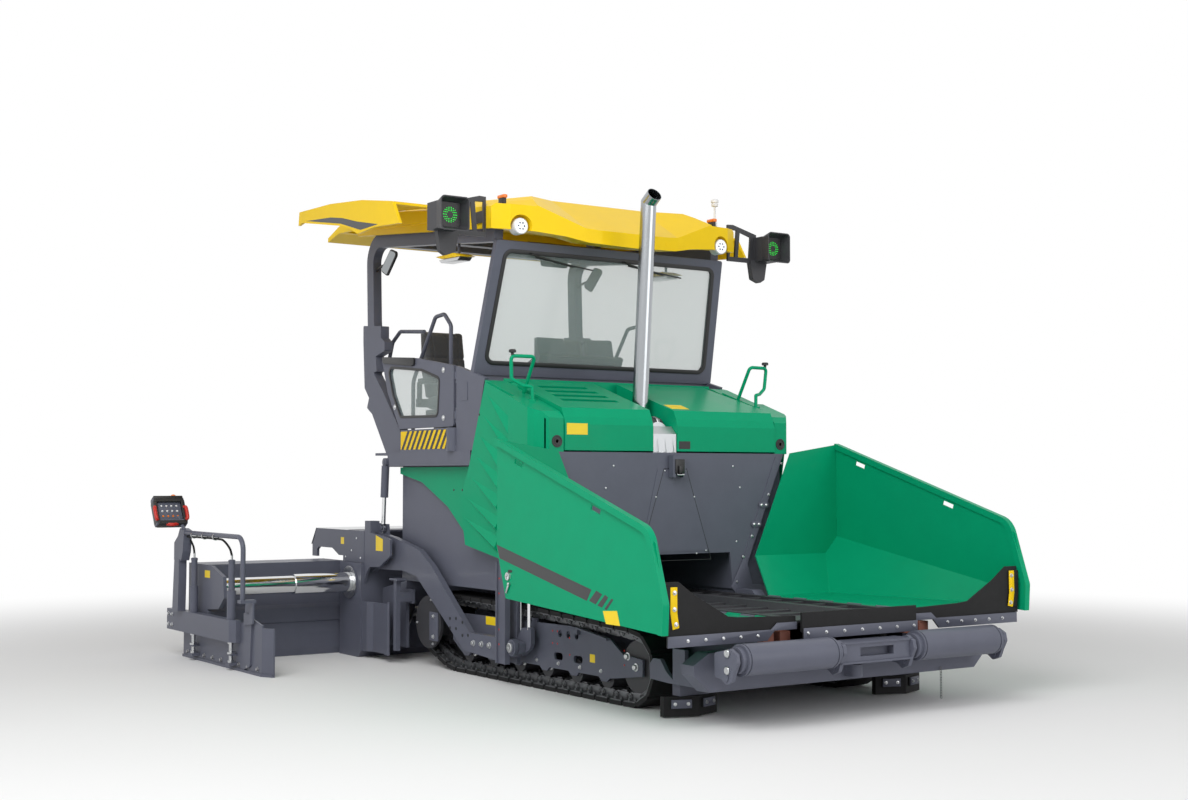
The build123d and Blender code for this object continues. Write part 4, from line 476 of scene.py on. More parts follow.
# x, z of the small red caps on the frame
RED_CAPS = ((0.661, 0.438), (0.726, 0.439), (0.661, 0.347), (0.726, 0.348), (0.889, 0.404),
            (0.892, 0.282), (1.577, 0.374), (1.577, 0.274))
for side, _ in SIDES:
    face = side * FRAME_FACE
    out = (0, side, 0)
    for x, z in RED_CAPS:
        group("caps", RED).dome((x, face, z), out, 0.007)
    fittings = group("frame_fittings", ZINC)
    for x in (0.446, 0.744, 1.027, 1.294):
        fittings.bolt((x, face, 0.205), out, 0.011)
    group("frame_fittings", GREY).slab(rectangle((-1.088, -0.943), (0.225, 0.459)), side_view,
                                       side * DRIVE_FACE, side * COVER_FACE, 0.002)
    for z in (0.259, 0.425):
        fittings.bolt((-1.017, side * COVER_FACE, z), out, 0.013)
    for angle in (75, 185, 295):
        fittings.bolt(on_circle(side_view, TRACK_WHEELS[0], 0.192, angle, side * DRIVE_FACE), out, 0.009)
    for x, z in (((-0.311, -0.141), (0.41, 0.475)), ((1.153, 1.217), (0.254, 0.312))):
        film("labels", LABEL, rectangle(x, z), side_view, face, side)
    for x in (-0.52, -0.146, 0.228, 0.602, 0.976, 1.33):
        fittings.turned((x, side * 1.0, 0.171), out, [
            (0, 0.03), (0.012, 0.03), (0.014, 0.02), (0.008, 0.018)], 20)


# -------- levelling columns and tow arms
COLUMN_FACE = 1.216
LEVEL_ROD_Y = 1.107
ARM_FACE = 1.18
CHEEK_FACE = 1.247               # outer face of the screed's cheek plate
END_FACE = 1.25                  # outer face of the screed's end plate
TUBE_AXIS = (-2.265, 0.645)      # x, z of the telescoping tubes
FLANGE_FACE = 1.289              # outer face of the tubes' flanges
# x, z of the black plugs on a tow arm
ARM_PLUGS = ((-0.63, 0.439), (-0.532, 0.447), (-0.429, 0.423), (-0.629, 0.365), (-0.531, 0.367),
             (-0.428, 0.321), (-0.339, 0.329))
for side, _ in SIDES:
    out = (0, side, 0)
    for z in (0.804, 0.692, 0.42, 0.308):
        for x in (0.196, 0.28):
            group("caps", RED).dome((x, side * COLUMN_FACE, z), out, 0.007)
    group("tow_roller", ZINC).turned((0.37, side * 1.224, 0.298), out, [
        (0, 0.036), (0.01, 0.036), (0.014, 0.03), (0.014, 0.014), (0.009, 0.012)], 28)
    y = side * LEVEL_ROD_Y
    group("levelling_rods", CHROME).rod((0.455, y, 0.43), (0.455, y, 0.79), 0.0178, 24, 0.001)
    group("levelling_rods", ZINC).rod((0.335, y, 0.4), (0.335, y, 0.84), 0.0068, 12)
    for x, z in ((-0.25, 0.277), (-0.123, 0.279), (-0.005, 0.28)):
        group("arm_fittings", ZINC, "screed").bolt((x, side * ARM_FACE, z), out, 0.018)
    for x, z in ARM_PLUGS:
        group("arm_fittings", BLACK, "screed").turned((x, side * ARM_FACE, z), out, [
            (0, 0.013), (0.0012, 0.013)], 16)
    plate = [(-1.824, 0.937), (-1.692, 0.937), (-1.692, 1.04), (-1.824, 1.07)]
    film("labels", LABEL, plate, side_view, side * CHEEK_FACE, side, "screed")
    plate = rectangle((-2.517, -2.453), (0.972, 1.033))
    film("labels", LABEL, plate, side_view, side * END_FACE, side, "screed")
    group("screed_flanges", ZINC, "screed").turned(
        side_view(*TUBE_AXIS, side * FLANGE_FACE), out,
        [(0, 0.1425), (0.0035, 0.1425), (0.0045, 0.139), (0.0045, 0.0905), (0, 0.0905), (0, 0.1425)], 56)
    for angle in range(15, 375, 45):
        place = on_circle(side_view, TUBE_AXIS, 0.124, angle, side * (FLANGE_FACE + 0.0042))
        group("screed_fittings", STEEL, "screed").dome(place, out, 0.0065)
    for x, z in ((-2.42, 0.86), (-2.12, 0.86), (-2.3, 0.92), (-2.2, 1.03)):
        group("screed_fittings", ZINC, "screed").dome((x, side * END_FACE, z), out, 0.01)


# -------- hopper wings and aprons
WING_FACE = 1.632
APRON_FACE, MEMBER_FACE = 2.797, 2.847   # front faces of a wing's strip and of the fixed strip
BOLT_ROW = 0.566                 # height of the bolts along the strips
# the band and the three slanted blocks behind it
STRIPES = ([(0.857, 1.094), (0.899, 0.999), (1.999, 0.771), (2.053, 0.846)],
           [(2.108, 0.843), (2.175, 0.823), (2.1, 0.754), (2.027, 0.773)],
           [(2.207, 0.822), (2.244, 0.808), (2.173, 0.739), (2.122, 0.749)],
           [(2.279, 0.802), (2.301, 0.797), (2.226, 0.727), (2.201, 0.732)])
WING_LABEL = [(2.184, 0.718), (2.34, 0.729), (2.373, 0.637), (2.218, 0.638)]
EDGE_PLATE = [(1.5, 0.74), (1.5, 0.9), (1.551, 0.9), (1.553, 0.74), (1.535, 0.64), (1.485, 0.65)]
for side, name in SIDES:
    wing = "wing_" + name
    face = side * WING_FACE
    for outline in STRIPES:
        film("wing_stripes", BAND, outline, side_view, face, side, wing)
    film("labels", LABEL, WING_LABEL, side_view, face, side, wing)
    latch = group("wing_latch", ZINC, wing)
    latch.turned((1.016, face, 0.878), (0, side, 0), [
        (0, 0.03), (0.012, 0.028), (0.012, 0.016), (0.004, 0.014)], 24)
    latch.slab([(1.03, 0.832), (1.046, 0.826), (1.006, 0.758), (0.99, 0.764)], side_view,
               face + side * 0.004, face + side * 0.014, 0.003)
    latch.rod((1.038, face, 0.826), (1.038, face + side * 0.02, 0.826), 0.011)
    # painted shade: a thin black film on the wing's face stands for the dark inside of the latch's slot,
    # which is not cut
    slot_painted_shade = [(a + 1.04, b + 0.915) for a, b in round_ends(0.02, 0.009)]
    film("wing_latch", BLACK, slot_painted_shade, side_view, face, side, wing)
    group("edge_plates", YELLOW, wing).slab(mirrored(EDGE_PLATE, side), front_view, 2.792, 2.7955, 0.001)
    bolts = group("apron_bolts", ZINC, wing)
    for y, z in ((1.521, 0.865), (1.523, 0.764), (1.511, 0.672)):
        bolts.bolt((2.7955, side * y, z), FORWARD, 0.011)
    for y in (0.86, 1.0, 1.14, 1.28, 1.42):
        bolts.bolt((APRON_FACE, side * y, BOLT_ROW), FORWARD, 0.0085)
for index in range(7):
    y = 0.48 * (index / 3 - 1)
    group("apron_bolts", ZINC).bolt((MEMBER_FACE, y, BOLT_ROW), FORWARD, 0.0085)


# -------- hopper bulkhead
BULKHEAD, FLAP_FACE, STRIP_FACE = 0.8, 0.805, 0.808      # faces of the bulkhead, its flap and strips
# y, z of the bolts: on the strip that closes the gap to a wing, on the bulkhead, on its flap
STRIP_BOLTS = ((1.078, 1.681), (0.94, 1.43), (0.764, 1.101), (0.672, 0.94), (0.602, 0.745))
FACE_BOLTS = ((0.578, 1.657), (0.649, 1.49), (0.612, 1.063), (0.171, 1.248), (0.21, 0.979))
FLAP_BOLTS = ((0.1, 1.62), (0.185, 1.42), (0.3, 1.0))
CORNER_PLATE = [(0.549, 0.709), (0.683, 0.944), (0.719, 0.886), (0.765, 0.72), (0.945, 0.71),
                (0.945, 0.605), (0.62, 0.625)]
for side, _ in SIDES:
    group("corner_plates", GREY).slab(mirrored(CORNER_PLATE, side), front_view, 0.806, 0.811, 0.001)
    bolts = group("bulkhead_bolts", ZINC)
    for y, z in STRIP_BOLTS:
        bolts.bolt((STRIP_FACE, side * y, z), FORWARD, 0.009)
    for y, z in FACE_BOLTS:
        bolts.dome((BULKHEAD, side * y, z), FORWARD, 0.008)
    for y, z in FLAP_BOLTS:
        bolts.dome((FLAP_FACE, side * y, z), FORWARD, 0.007)
latch = group("bulkhead_latch", BLACK)
latch.box((0.86, 0.868), (-0.045, 0.045), (1.6, 1.71))
latch.box((0.86, 0.884), (-0.02, 0.02), (1.6, 1.66))
group("bulkhead_latch", ZINC).rod((0.872, -0.03, 1.59), (0.872, 0.035, 1.59), 0.007)


# -------- push bar, rollers and ploughs
PLOUGH_X, PLOUGH_Y = 2.304, 0.953
for side, _ in SIDES:
    for z in (0.385, 0.49):
        group("push_fittings", ZINC, "push_bar").turned(
            (2.93, side * 1.215, z), (0, side, 0), [(0, 0.025), (0.01, 0.025), (0.013, 0.021)], 24)
    for x, z in ((1.848, 0.292), (1.753, 0.357)):
        group("frame_fittings", ZINC).bolt((x, side * 1.128, z), (0, side, 0), 0.02)
    for turn in (-1, 1):
        way = Vector((-0.082, turn * 0.222, 0)).normalized()
        clamp = tilted((PLOUGH_X, side * PLOUGH_Y, 0), way * turn, UP)
        plate = rectangle(sorted((turn * 0.05, turn * 0.188)), (0.064, 0.12))
        group("plough_plates", GREY).slab(plate, clamp, 0.0, 0.016, 0.001)
        for apart in (0.075, 0.165):
            group("plough_bolts", ZINC).bolt(clamp(turn * apart, 0.092, 0.016),
                                             clamp(0, 0, 1) - clamp(0, 0, 0), 0.009)
chain = group("hanging_chain", CHAIN)
for index in range(12):
    z = 0.24 - index * 0.018
    along_x, along_y = (0.008, 0) if index % 2 else (0, 0.008)
    turns = [math.pi * step / 6 for step in range(13)]
    chain.tube([(2.735 + along_x * math.cos(a), 0.855 + along_y * math.cos(a), z + 0.011 * math.sin(a))
                for a in turns], 0.0022, 6, 1)


# -------- strips, flap and shield
WING_STRIP = [(0.53, 0.592), (0.53, 0.64), (0.7, 0.64), (0.75, 0.6), (1.575, 0.6), (1.575, 0.53),
              (0.78, 0.53), (0.72, 0.592)]
FLAP = [(-0.11, 1.64), (-0.35, 0.93), (0.35, 0.93), (0.11, 1.64)]
TURBO = (0.6, 1.965)             # x, z of the round housing on the engine
for side, name in SIDES:
    group("apron_strips", GREY, "wing_" + name).slab(mirrored(WING_STRIP, side), front_view, 2.793,
                                                     APRON_FACE, 0.001)
    for y in (0.66, 0.52):
        group("red_stops", OXIDE).box((2.66, 2.72), sorted((side * y, side * (y + 0.09))), (0.5, 0.575))
    for y, z in ((0.885, 1.348), (0.808, 1.195)):
        pad = [(side * y + a, z + b) for a, b in round_ends(0.03, 0.022)]
        group("bulkhead_pads", GREY).slab(pad, front_view, 0.807, 0.816, 0.002)
        for apart in (-0.024, 0.024):
            group("bulkhead_bolts", ZINC).dome((0.816, side * y + apart, z), FORWARD, 0.013)
member = rectangle((-0.517, 0.517), (0.528, 0.6))
group("apron_strips", GREY).slab(member, front_view, 2.843, MEMBER_FACE, 0.001)
group("flap_seam", BLACK).ring(FLAP, 0.004, front_view, 0.8045, 0.8062, 0)
for index in range(8):
    group("shield_bolts", ZINC).dome((0.79, -0.188 + index * 0.028, 1.768), FORWARD, 0.0065)
engine = group("engine_top", DARK)
engine.rod(side_view(*TURBO, -0.185), side_view(*TURBO, 0.0), 0.07, 32, 0.012)
engine.rod((0.69, -0.17, 1.925), (0.69, -0.01, 1.925), 0.03, 24, 0.006)
engine = group("engine_top", STEEL)
engine.tube([(0.457, -0.09, 2.03), (0.47, -0.09, 1.985), (0.53, -0.09, 1.955), (0.6, -0.09, 1.95)],
            0.05, 20)
engine.rod(side_view(*TURBO, -0.07), side_view(*TURBO, -0.045), 0.082, 32, 0.004)
for angle in range(0, 360, 45):
    group("engine_top", ZINC).bolt(on_circle(side_view, TURBO, 0.074, angle, -0.045), (0, 1, 0), 0.007)


# -------- hood
LID_FRONT = 0.8
LID_PLANE = tilted((0.748, 0, 2.09), (0, 1, 0), (-0.768, 0, 0.24))
film("labels", LABEL, rectangle((-1.0, -0.815), (1.888, 1.972)), front_view, LID_FRONT, 1, "hood_right")
film("labels", LABEL, rectangle((0.05, 0.22), (0.05, 0.17)), LID_PLANE, 0.0, 1, "hood_left")
# painted shade: a thin black film on the lid's front face stands for the shade inside a notch, which is not
# cut
group("lid_notch", BLACK, "hood_left").slab(rectangle((0.04, 0.15), (1.79, 1.85)), front_view,
                                            LID_FRONT - 0.0005, LID_FRONT + 0.0008, 0)
for side, _ in SIDES:
    for outer, inner, sides in ((0.046, 0.036, 32), (0.026, 0.014, 24)):
        group("cap_grilles", BLACK).turned((0.79, side * 1.08, 1.837), FORWARD, [
            (0, outer), (0.004, outer - 0.001), (0.004, inner), (0.0015, inner - 0.002)], sides)
    group("handle_knobs", BLACK).turned((0.42, side * 1.24, 2.49), UP, [
        (0, 0.012), (0.016, 0.012), (0.02, 0.028), (0.036, 0.028), (0.042, 0.022)], 20)
    for x, z in ((-0.531, 1.469), (-0.394, 1.47), (-0.131, 2.06)):
        group("panel_bolts", BLACK).dome((x, side * 1.205, z), (0, side, 0), 0.009)


# -------- doors, sill and windscreen
DOOR_FACE = 1.186
DOOR_WINDOW = [(-0.84, 2.071), (-0.812, 2.38), (-1.123, 2.463), (-1.735, 2.52), (-1.64, 2.28),
               (-1.497, 2.083)]
TOP_BAR = [(-1.822, 2.614), (-1.233, 2.573), (-1.233, 2.514), (-1.281, 2.506), (-1.803, 2.558)]
SILL = (-1.488, -0.642)          # ends of the striped plate
SILL_LOW, SILL_HIGH = 1.803, 1.957
STRIPE, SLANT = 0.042, 0.11      # width of a stripe, and how far its top is ahead of its foot
SCREEN_RUN, SCREEN_RISE = 0.218, 0.901
for side, name in SIDES:
    door = "door_" + name
    face = side * DOOR_FACE
    out = (0, side, 0)
    seal = rounded(inset(DOOR_WINDOW, -0.012), 0.06)
    group("door_seal", BLACK, door).ring(seal, 0.022, side_view, side * 1.182, side * 1.1895, 0.001)
    group("door_top_bar", BLACK, door).slab(rounded(TOP_BAR, 0.012, 3), side_view, side * 1.187,
                                            side * 1.2045, 0.002)
    for x, z in ((-0.746, 2.443), (-0.742, 2.052), (-1.6, 2.17)):
        button = group("door_buttons", ZINC, door)
        button.turned((x, face, z), out, [(0, 0.023), (0.003, 0.023), (0.004, 0.019)], 24)
        button.dome((x, face + side * 0.003, z), out, 0.018)
    group("sill_stripes", YELLOW).slab(rectangle(SILL, (SILL_LOW, SILL_HIGH)), side_view, face,
                                       face + side * 0.001, 0)
    for index in range(10):
        x = SILL[0] + 0.012 + index * STRIPE * 2
        stripe = [(x, SILL_LOW), (x + STRIPE, SILL_LOW), (x + STRIPE + SLANT, SILL_HIGH),
                  (x + SLANT, SILL_HIGH)]
        stripe = [(min(a, SILL[1]), b) for a, b in stripe]
        group("sill_stripes", BLACK).slab(stripe, side_view, face, face + side * 0.0016, 0)
SCREEN = tilted((-0.302, 0, 2.392), (0, 1, 0), (SCREEN_RUN, 0, SCREEN_RISE))
opening = [(-1.1, 0.095), (1.1, 0.095), (1.04, 1.0), (-1.04, 1.0)]
group("screen_seal", BLACK).ring(rounded(inset(opening, -0.012), 0.082), 0.034, SCREEN, 0.044, 0.056, 0.002)
wipers = group("wipers", BLACK)
for a, b in ((-0.8, -0.4), (0.1, 0.5)):
    wipers.tube([SCREEN(a, 0.985, 0.055), SCREEN(a, 0.985, 0.085), SCREEN(a + 0.08, 0.965, 0.085),
                 SCREEN(b, 0.915, 0.07)], 0.009, 10)
    wipers.slab([(b - 0.36, 0.955), (b - 0.36, 0.967), (b + 0.2, 0.905), (b + 0.2, 0.893)], SCREEN,
                0.056, 0.066, 0.002)


# -------- roof lamps, displays and mirrors
DISPLAY_Y, DISPLAY_Z, DISPLAY_FACE = 1.605, 3.56, 0.1065
MIRROR_Y = 1.085
SHADE_STRIPE = [(-2.2, 3.805), (-1.699, 3.769), (-1.463, 3.732), (-1.196, 3.668), (-0.805, 3.594),
                (-1.12, 3.588), (-1.501, 3.69)]
for side, _ in SIDES:
    y, z = side * 0.995, 3.524
    group("lamp_rims", WHITE).turned((0.058, y, z), FORWARD, [
        (0, 0.0635), (0.083, 0.0635), (0.088, 0.06), (0.088, 0.055), (0.08, 0.054)], 40)
    group("lamp_lenses", LENS).turned((0.138, y, z), FORWARD, [
        (0, 0.056), (0.006, 0.054), (0.01, 0.04)], 40)
    for index in range(6):
        place = on_circle(front_view, (y, z), 0.027, 60 * index, 0.148)
        group("lamp_leds", GREY).dome(place, FORWARD, 0.008)
    middle = side * DISPLAY_Y
    screen = rectangle(around(middle, 0.086), (3.468, 3.652))
    group("display_faces", BLACK).slab(rounded(screen, 0.014, 4), front_view, DISPLAY_FACE - 0.003,
                                       DISPLAY_FACE, 0)
    for radius, count in ((0.056, 18), (0.044, 14), (0.032, 10)):
        for index in range(count):
            place = on_circle(front_view, (middle, DISPLAY_Z), radius, 360 * index / count, DISPLAY_FACE)
            group("display_leds", LED).dome(place, FORWARD, 0.0042)
    group("marker_feet", BLACK).box((-0.09, -0.01), around(side * 1.05, 0.015), (3.69, 3.77), 0.006)
    group("markers", ORANGE).box((-0.1, 0.0), around(side * 1.05, 0.02), (3.762, 3.79), 0.008)
    film("shade_stripes", BAND, SHADE_STRIPE, side_view, side * 1.755, side)
    plate = rounded([(-1.883, 3.575), (-1.745, 3.53), (-1.949, 3.342), (-2.08, 3.405)], 0.03, 4)
    group("mirrors", BLACK).slab(plate, side_view, side * 1.075, side * 1.097, 0.006)
    group("mirrors", MIRROR).slab(inset(plate, 0.012), side_view, side * 1.096, side * 1.0985, 0)
    group("mirrors", BLACK).tube([(-1.95, side * MIRROR_Y, 3.45), (-2.08, side * MIRROR_Y, 3.44),
                                  (-2.2, side * 1.08, 3.4)], 0.012)
    group("work_lights", YELLOW).slab([(-1.0, 3.4), (-0.69, 3.4), (-0.56, 3.362), (-0.9, 3.372)],
                                      side_view, side * 0.99, side * 1.13, 0.004)
    group("work_lights", ZINC).slab([(-0.96, 3.37), (-0.6, 3.362), (-0.64, 3.335), (-0.92, 3.34)],
                                    side_view, side * 1.0, side * 1.12, 0.006)
    for x in (-0.95, -0.72):
        group("work_lights", GREY).rod((x, side * 1.06, 3.39), (x, side * 1.06, 3.5), 0.012)
group("sensor_mast", WHITE).turned((-0.17, 1.18, 3.74), UP, [
    (0, 0.02), (0.05, 0.02), (0.055, 0.009), (0.19, 0.009), (0.19, 0.028), (0.205, 0.031), (0.215, 0.024),
    (0.22, 0.024), (0.222, 0.034), (0.24, 0.034), (0.252, 0.022)], 28)
group("roof_console", DARK).box((-0.62, -0.36), (-0.62, 0.08), (3.43, 3.5), 0.02)
console = group("roof_console", BLACK)
console.slab(rounded(rectangle((-0.5, -0.24), (3.3, 3.38)), 0.025), front_view, -0.36, -0.34, 0.004)
console.rod((-0.35, -0.37, 3.37), (-0.4, -0.37, 3.44), 0.008)


# -------- operator's console
SCREEN_PLANE = tilted((-0.655, 0, 2.545), (0, 1, 0), (0.015, 0, 1))
DESK = tilted((-0.9, 0, 2.44), (0, 1, 0), (0.38, 0, 0.16))
for side, _ in SIDES:
    y = side * 0.25
    group("console_screens", BLACK).slab(rectangle(around(y, 0.118), (0.015, 0.165)), SCREEN_PLANE,
                                         -0.001, 0.003, 0.001)
    keys = group("console_keys", ZINC)
    for row in range(3):
        for column in range(5):
            keys.turned(DESK(side * (0.12 + 0.055 * column), 0.09 + 0.055 * row, 0),
                        DESK(0, 0, 1) - DESK(0, 0, 0), [(0, 0.014), (0.006, 0.013), (0.008, 0.01)], 14)
    stick = group("console_levers", BLACK)
    stick.rod(DESK(side * 0.3, 0.32, 0), DESK(side * 0.3, 0.3, 0.09), 0.008)
    stick.turned(DESK(side * 0.3, 0.3, 0.08), UP, [
        (0, 0.012), (0.01, 0.02), (0.04, 0.022), (0.055, 0.012)], 16)


# -------- screed and end gates
WALKWAY = [(-2.36, 1.1), (-3.046, 1.1), (-3.152, 0.95), (-3.154, 0.951), (-3.048, 1.1035), (-2.36, 1.1035)]
STEP_FACE = 1.16                 # outer face of the plate at the tow arm's rear end
SPINDLES = ((-2.7, 0.86), (-1.84, 0.88))         # x and top of the end gate's spindles
SPINDLE_Y, EXTENSION_FACE = 2.542, 2.48
RAIL_Y, RAIL_Z = 2.602, 1.062    # hose along the end gate's rail
HOSE = 0.009                     # radius of the hoses
KNOB = 0.0262                    # radius of the remote console's knob
group("walkway_cover", ZINC, "screed").slab(WALKWAY, side_view, -1.252, 1.252, 0)
for side, name in SIDES:
    sliding = "extension_" + name
    out = (0, side, 0)
    group("arm_fittings", GREY, "screed").slab([(-2.22, 1.08), (-1.9, 1.08), (-1.9, 1.17), (-2.22, 1.18)],
                                               side_view, side * 1.148, side * STEP_FACE, 0.003)
    for x in (-2.05, -1.96):
        group("arm_fittings", ZINC, "screed").bolt((x, side * STEP_FACE, 1.13), out, 0.012)
    plate = rectangle((-2.612, -2.492), (0.711, 0.773))
    film("labels", LABEL, plate, side_view, side * EXTENSION_FACE, side, sliding)
    for index in range(9):
        group("gate_bolts", STEEL, sliding).bolt((-2.93 + 0.195 * index, side * 2.502, 0.052), out, 0.014)
    for x in (-3.21, -3.12):
        for z in (0.275, 0.365):
            group("gate_bolts", ZINC, sliding).bolt((x, side * 2.582, z), out, 0.013)
    axis = side * SPINDLE_Y
    for x, top in SPINDLES:
        collars = group("gate_spindles", ZINC, sliding)
        collars.rod((x, axis, 0.062), (x, axis, 0.23), 0.0168, 24)
        for z, radius in ((0.062, 0.028), (0.132, 0.034), (0.215, 0.03)):
            collars.turned((x, axis, z), UP, [(0, radius), (0.018, radius), (0.021, radius * 0.8)], 6)
        collars.rod((x, axis, top), (x, axis, top + 0.06), 0.009)
        group("gate_spindles", GREY, sliding).turned((x, axis, top - 0.004), UP, [
            (0, 0.029), (0.016, 0.029), (0.022, 0.02)], 24)
    hoses = group("gate_hoses", RUBBER, sliding)
    rail = side * RAIL_Y
    hoses.tube([(-2.8, side * 2.56, 1.06), (-2.72, rail - side * 0.01, 1.058), (-2.4, rail, RAIL_Z),
                (-2.0, rail, RAIL_Z), (-1.9, rail - side * 0.012, 1.05), (-1.845, side * 2.56, 0.99),
                (-1.84, axis, 0.93)], HOSE, 12)
    hoses.tube([(-2.79, side * 2.55, 1.03), (-2.74, side * 2.56, 1.02), (-2.705, side * 2.55, 0.97),
                (-2.7, axis, 0.91)], HOSE, 12)
    for x in (-2.55, -2.3, -2.05):
        group("hose_clips", ZINC, sliding).turned((x - 0.007, rail, 1.078), FORWARD, [
            (0, 0.03), (0.014, 0.03), (0.014, 0.022), (0, 0.022), (0, 0.03)], 20)
    console = tilted((-2.88, side * 2.707, 1.265), (0, 1, 0), (-0.5, 0, 0.866))
    shell = rounded(rectangle((-0.138, 0.138), (-0.128, 0.122)), 0.03, 5)
    box = group("remote_shell", BLACK, sliding)
    box.ring(shell, 0.032, console, -0.0375, 0.0375, 0.004)
    box.slab(shell, console, -0.039, -0.035, 0.002)
    box.slab(rectangle((-0.13, 0.13), (0.116, 0.1465)), console, -0.05, 0.04, 0.006)
    panel = rounded(rectangle((-0.1, 0.1), (-0.075, 0.095)), 0.012, 4)
    group("remote_panel", GREY, sliding).slab(panel, console, 0.009, 0.014, 0.001)
    for row in range(3):
        for column in range(4):
            group("remote_panel", WHITE if row else ORANGE, sliding).turned(
                console(-0.066 + 0.044 * column, -0.045 + 0.05 * row, 0.014), (0.866, 0, 0.5),
                [(0, 0.009), (0.004, 0.009), (0.006, 0.007)], 14)
    grips = group("remote_grips", RED, sliding)
    for a in (-0.128, 0.128):
        grips.tube([console(a, -0.085, 0.03), console(a * 1.08, -0.07, 0.045),
                    console(a * 1.08, 0.02, 0.045), console(a, 0.035, 0.03)], 0.016, 12)
    grips.tube([console(-0.05, -0.122, 0.02), console(0, -0.135, 0.03), console(0.05, -0.122, 0.02)],
               0.015, 12)
    turns = [math.pi * index / 10 for index in range(11)]
    group("remote_knob", ORANGE, sliding).turned(
        console(-side * 0.06, 0.15, 0) - Vector((0, 0, KNOB)), UP,
        [(KNOB * (1 - math.cos(a)), KNOB * math.sin(a)) for a in turns], 24)


# -------- seats
SEAT_X, SEAT_Y = -1.48, 0.64
VOXEL = 0.008
REACH = 0.012                    # furthest that the padding moves a point of a cover
CUSHION = [(-1.7, 2.172), (-1.24, 2.172), (-1.228, 2.24), (-1.262, 2.284), (-1.7, 2.258)]
BACKREST = [(-1.7, 2.256), (-1.602, 2.256), (-1.667, 2.48), (-1.732, 2.85), (-1.782, 2.866),
            (-1.812, 2.85), (-1.8, 2.5)]
# seams: axis, place along it, depth and width
CUSHION_SEAMS = ((1, -0.135, 0.007, 0.009), (1, 0.135, 0.007, 0.009), (0, -1.36, 0.005, 0.008),
                 (0, -1.5, 0.005, 0.008))
BACKREST_SEAMS = ((1, -0.125, 0.007, 0.009), (1, 0.125, 0.007, 0.009), (2, 2.62, 0.008, 0.01),
                  (2, 2.42, 0.005, 0.008))


def bake(piece):
    """Turn the piece's modifiers into its mesh."""
    graph = bpy.context.evaluated_depsgraph_get()
    data = bpy.data.meshes.new_from_object(piece.evaluated_get(graph))
    piece.modifiers.clear()
    piece.data = data


def swell(piece):
    """Fill the cover with air, with no point moving further than REACH."""
    remesh = piece.modifiers.new("remesh", "REMESH")
    remesh.mode, remesh.voxel_size = "VOXEL", VOXEL
    bake(piece)
    start = [point.co.copy() for point in piece.data.vertices]
    cloth = piece.modifiers.new("cloth", "CLOTH")
    cloth.settings.use_pressure = True
    cloth.settings.uniform_pressure_force = 4.0
    cloth.settings.effector_weights.gravity = 0
    for step in range(1, 21):
        bpy.context.scene.frame_set(step)
    bake(piece)
    bpy.context.scene.frame_set(1)
    for point, before in zip(piece.data.vertices, start):
        move = point.co - before
        if move.length > REACH:
            point.co = before + move.normalized() * REACH


def sew(piece, seams):
    """Press seams into the cover."""
    data = piece.data
    normals = [point.normal.copy() for point in data.vertices]
    for point, normal in zip(data.vertices, normals):
        for axis, place, depth, width in seams:
            distance = (point.co[axis] - place) / width
            if abs(distance) < 3 and abs(normal[axis]) < 0.8:
                point.co -= normal * depth * math.exp(-distance * distance)


def seat_pad(name, outline, half, seams):
    """Padded piece of both seats, made once about the middle and set at each seat."""
    cover = Group(name, FABRIC, "tractor")
    cover.slab(outline, side_view, -half, half, 0.028)
    shape = add_object(name, to_data(name, cover.mesh))
    swell(shape)
    sew(shape, seams)
    shape.modifiers.new("fine", "SUBSURF").levels = 1
    bake(shape)
    data = shape.data
    bpy.data.objects.remove(shape)
    for face in data.polygons:
        face.use_smooth = True
    data.materials.clear()
    data.materials.append(FABRIC)
    for side, label in SIDES:
        mesh = data.copy()
        mesh.transform(Matrix.Translation((SHIFT, side * SEAT_Y, 0)))
        pad = add_object(name + "_" + label, mesh)
        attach(pad, "tractor")
        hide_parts("seats")


seat_pad("seat_cushion", CUSHION, 0.215, CUSHION_SEAMS)
seat_pad("seat_back", BACKREST, 0.205, BACKREST_SEAMS)
for side, _ in SIDES:
    y = side * SEAT_Y
    base = group("seat_base", BLACK)
    base.box(around(SEAT_X, 0.18), around(y, 0.16), (1.784, 1.83), 0.01)
    for level in range(6):
        z = 1.84 + level * 0.045
        base.box(around(SEAT_X, 0.15), around(y, 0.135), (z - 0.01, z + 0.012), 0.006)
        base.box(around(SEAT_X, 0.165), around(y, 0.15), (z + 0.012, z + 0.035), 0.01)
    base.box((SEAT_X - 0.22, SEAT_X + 0.2), around(y, 0.2), (2.11, 2.158), 0.012)
    base.box((SEAT_X - 0.23, SEAT_X - 0.2), around(y, 0.29), (2.18, 2.255), 0.008)
    for apart in (-0.262, 0.262):
        base.box((SEAT_X - 0.228, SEAT_X - 0.192), around(y + apart, 0.02), (2.24, 2.4), 0.008)
        base.box((SEAT_X - 0.2, SEAT_X + 0.12), around(y + apart, 0.028), (2.38, 2.43), 0.014)


for pieces in GROUPS.values():
    pieces.done()


# -------- floor, lights and camera
# strength of the light from all round: from the horizon and below, and from straight above
AMBIENT_SIDE, AMBIENT_TOP = 0.66, 0.42
WHITE_LIGHT = (1, 1, 1, 1)
FADE_NEAR, FADE_FAR = 4.5, 11.0  # distances between which the floor turns white
CAMERA_PLACE = (10.561 + SHIFT, -7.4176, 1.5813)
CAMERA_AZIMUTH, CAMERA_PITCH, CAMERA_LENS = 34.307, 2.748, 47.95


def calculate(tree, operation, one, two):
    """Result of a calculation with two sockets."""
    node = add_node(tree, "Math")
    node.operation = operation
    tree.links.new(one, node.inputs[0])
    tree.links.new(two, node.inputs[1])
    return node.outputs[0]


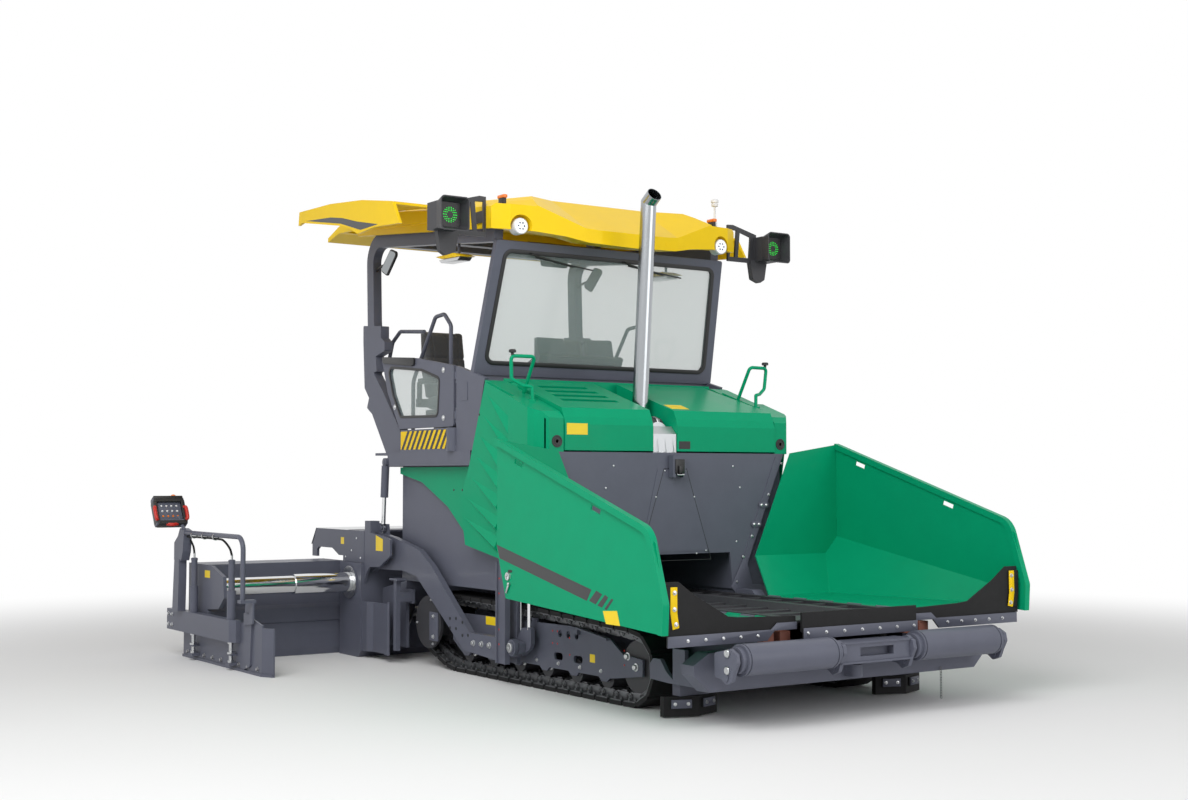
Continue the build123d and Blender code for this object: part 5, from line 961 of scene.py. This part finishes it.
def seen_directly(tree):
    """Socket that is 1 for rays from the camera, off metal or through glass, and 0 for the rest."""
    path = add_node(tree, "LightPath")
    total = path.outputs["Is Camera Ray"]
    for ray in ("Is Glossy Ray", "Is Transmission Ray"):
        total = calculate(tree, "MAXIMUM", total, path.outputs[ray])
    return total


def make_floor():
    """Pale floor that keeps the shadow near the machine and is white further off."""
    bpy.ops.mesh.primitive_plane_add(size=160)
    floor = bpy.context.object
    floor.name = "floor"
    pale = material("floor", (0.86, 0.86, 0.86), 0.8, tone=0.012, tone_scale=0.4, specular=0.1)
    tree = pale.node_tree
    link = tree.links.new
    distance = add_node(tree, "VectorMath")
    distance.operation = "LENGTH"
    link(add_node(tree, "TexCoord").outputs["Object"], distance.inputs[0])
    far = add_node(tree, "MapRange", From_Min=FADE_NEAR, From_Max=FADE_FAR)
    far.interpolation_type = "SMOOTHSTEP"
    link(distance.outputs["Value"], far.inputs["Value"])
    share = calculate(tree, "MULTIPLY", far.outputs["Result"], seen_directly(tree))
    white = add_node(tree, "Emission", Color=WHITE_LIGHT, Strength=1.0)
    mix = add_node(tree, "MixShader")
    for socket, source in zip(mix.inputs, (share, tree.nodes["Principled BSDF"].outputs[0],
                                           white.outputs[0])):
        link(source, socket)
    link(mix.outputs[0], tree.nodes["Material Output"].inputs["Surface"])
    floor.data.materials.append(pale)


def make_light(name, place, target, side, power):
    """Square lamp that shines from its place to a target."""
    data = bpy.data.lights.new(name, "AREA")
    data.shape = "RECTANGLE"
    data.size = data.size_y = side
    data.energy = power
    lamp = add_object(name, data)
    lamp.location = place
    lamp.rotation_euler = (Vector(target) - Vector(place)).to_track_quat("-Z", "Y").to_euler()


def make_world():
    """White background whose light comes more from the sides than from above."""
    world = bpy.data.worlds.new("studio")
    bpy.context.scene.world = world
    world.use_nodes = True
    tree = world.node_tree
    link = tree.links.new
    back = tree.nodes["Background"]
    back.inputs["Color"].default_value = WHITE_LIGHT
    height = add_node(tree, "SeparateXYZ")
    link(add_node(tree, "TexCoord").outputs["Generated"], height.inputs[0])
    ambient = add_node(tree, "MapRange", To_Min=AMBIENT_SIDE, To_Max=AMBIENT_TOP)
    link(height.outputs["Z"], ambient.inputs["Value"])
    level = add_node(tree, "MapRange", To_Max=1.0)
    link(ambient.outputs["Result"], level.inputs["To Min"])
    link(seen_directly(tree), level.inputs["Value"])
    link(level.outputs["Result"], back.inputs["Strength"])


def make_camera():
    """Camera at the photo's place, with its lens."""
    azimuth, pitch = math.radians(CAMERA_AZIMUTH), math.radians(CAMERA_PITCH)
    data = bpy.data.cameras.new("camera")
    data.sensor_width = 36
    data.lens = CAMERA_LENS
    data.clip_end = 500
    camera = add_object("camera", data)
    camera.location = CAMERA_PLACE
    way = Vector((-math.cos(azimuth) * math.cos(pitch), math.sin(azimuth) * math.cos(pitch),
                  math.sin(pitch)))
    camera.rotation_euler = way.to_track_quat("-Z", "Y").to_euler()
    bpy.context.scene.camera = camera


make_floor()
make_world()
make_light("key", (5, -7, 8), (0, 0, 1.2), 7, 640)
make_light("fill", (11, 3, 4), (1, 0, 1.5), 6, 220)
make_camera()
bpy.context.scene.view_settings.view_transform = "Standard"
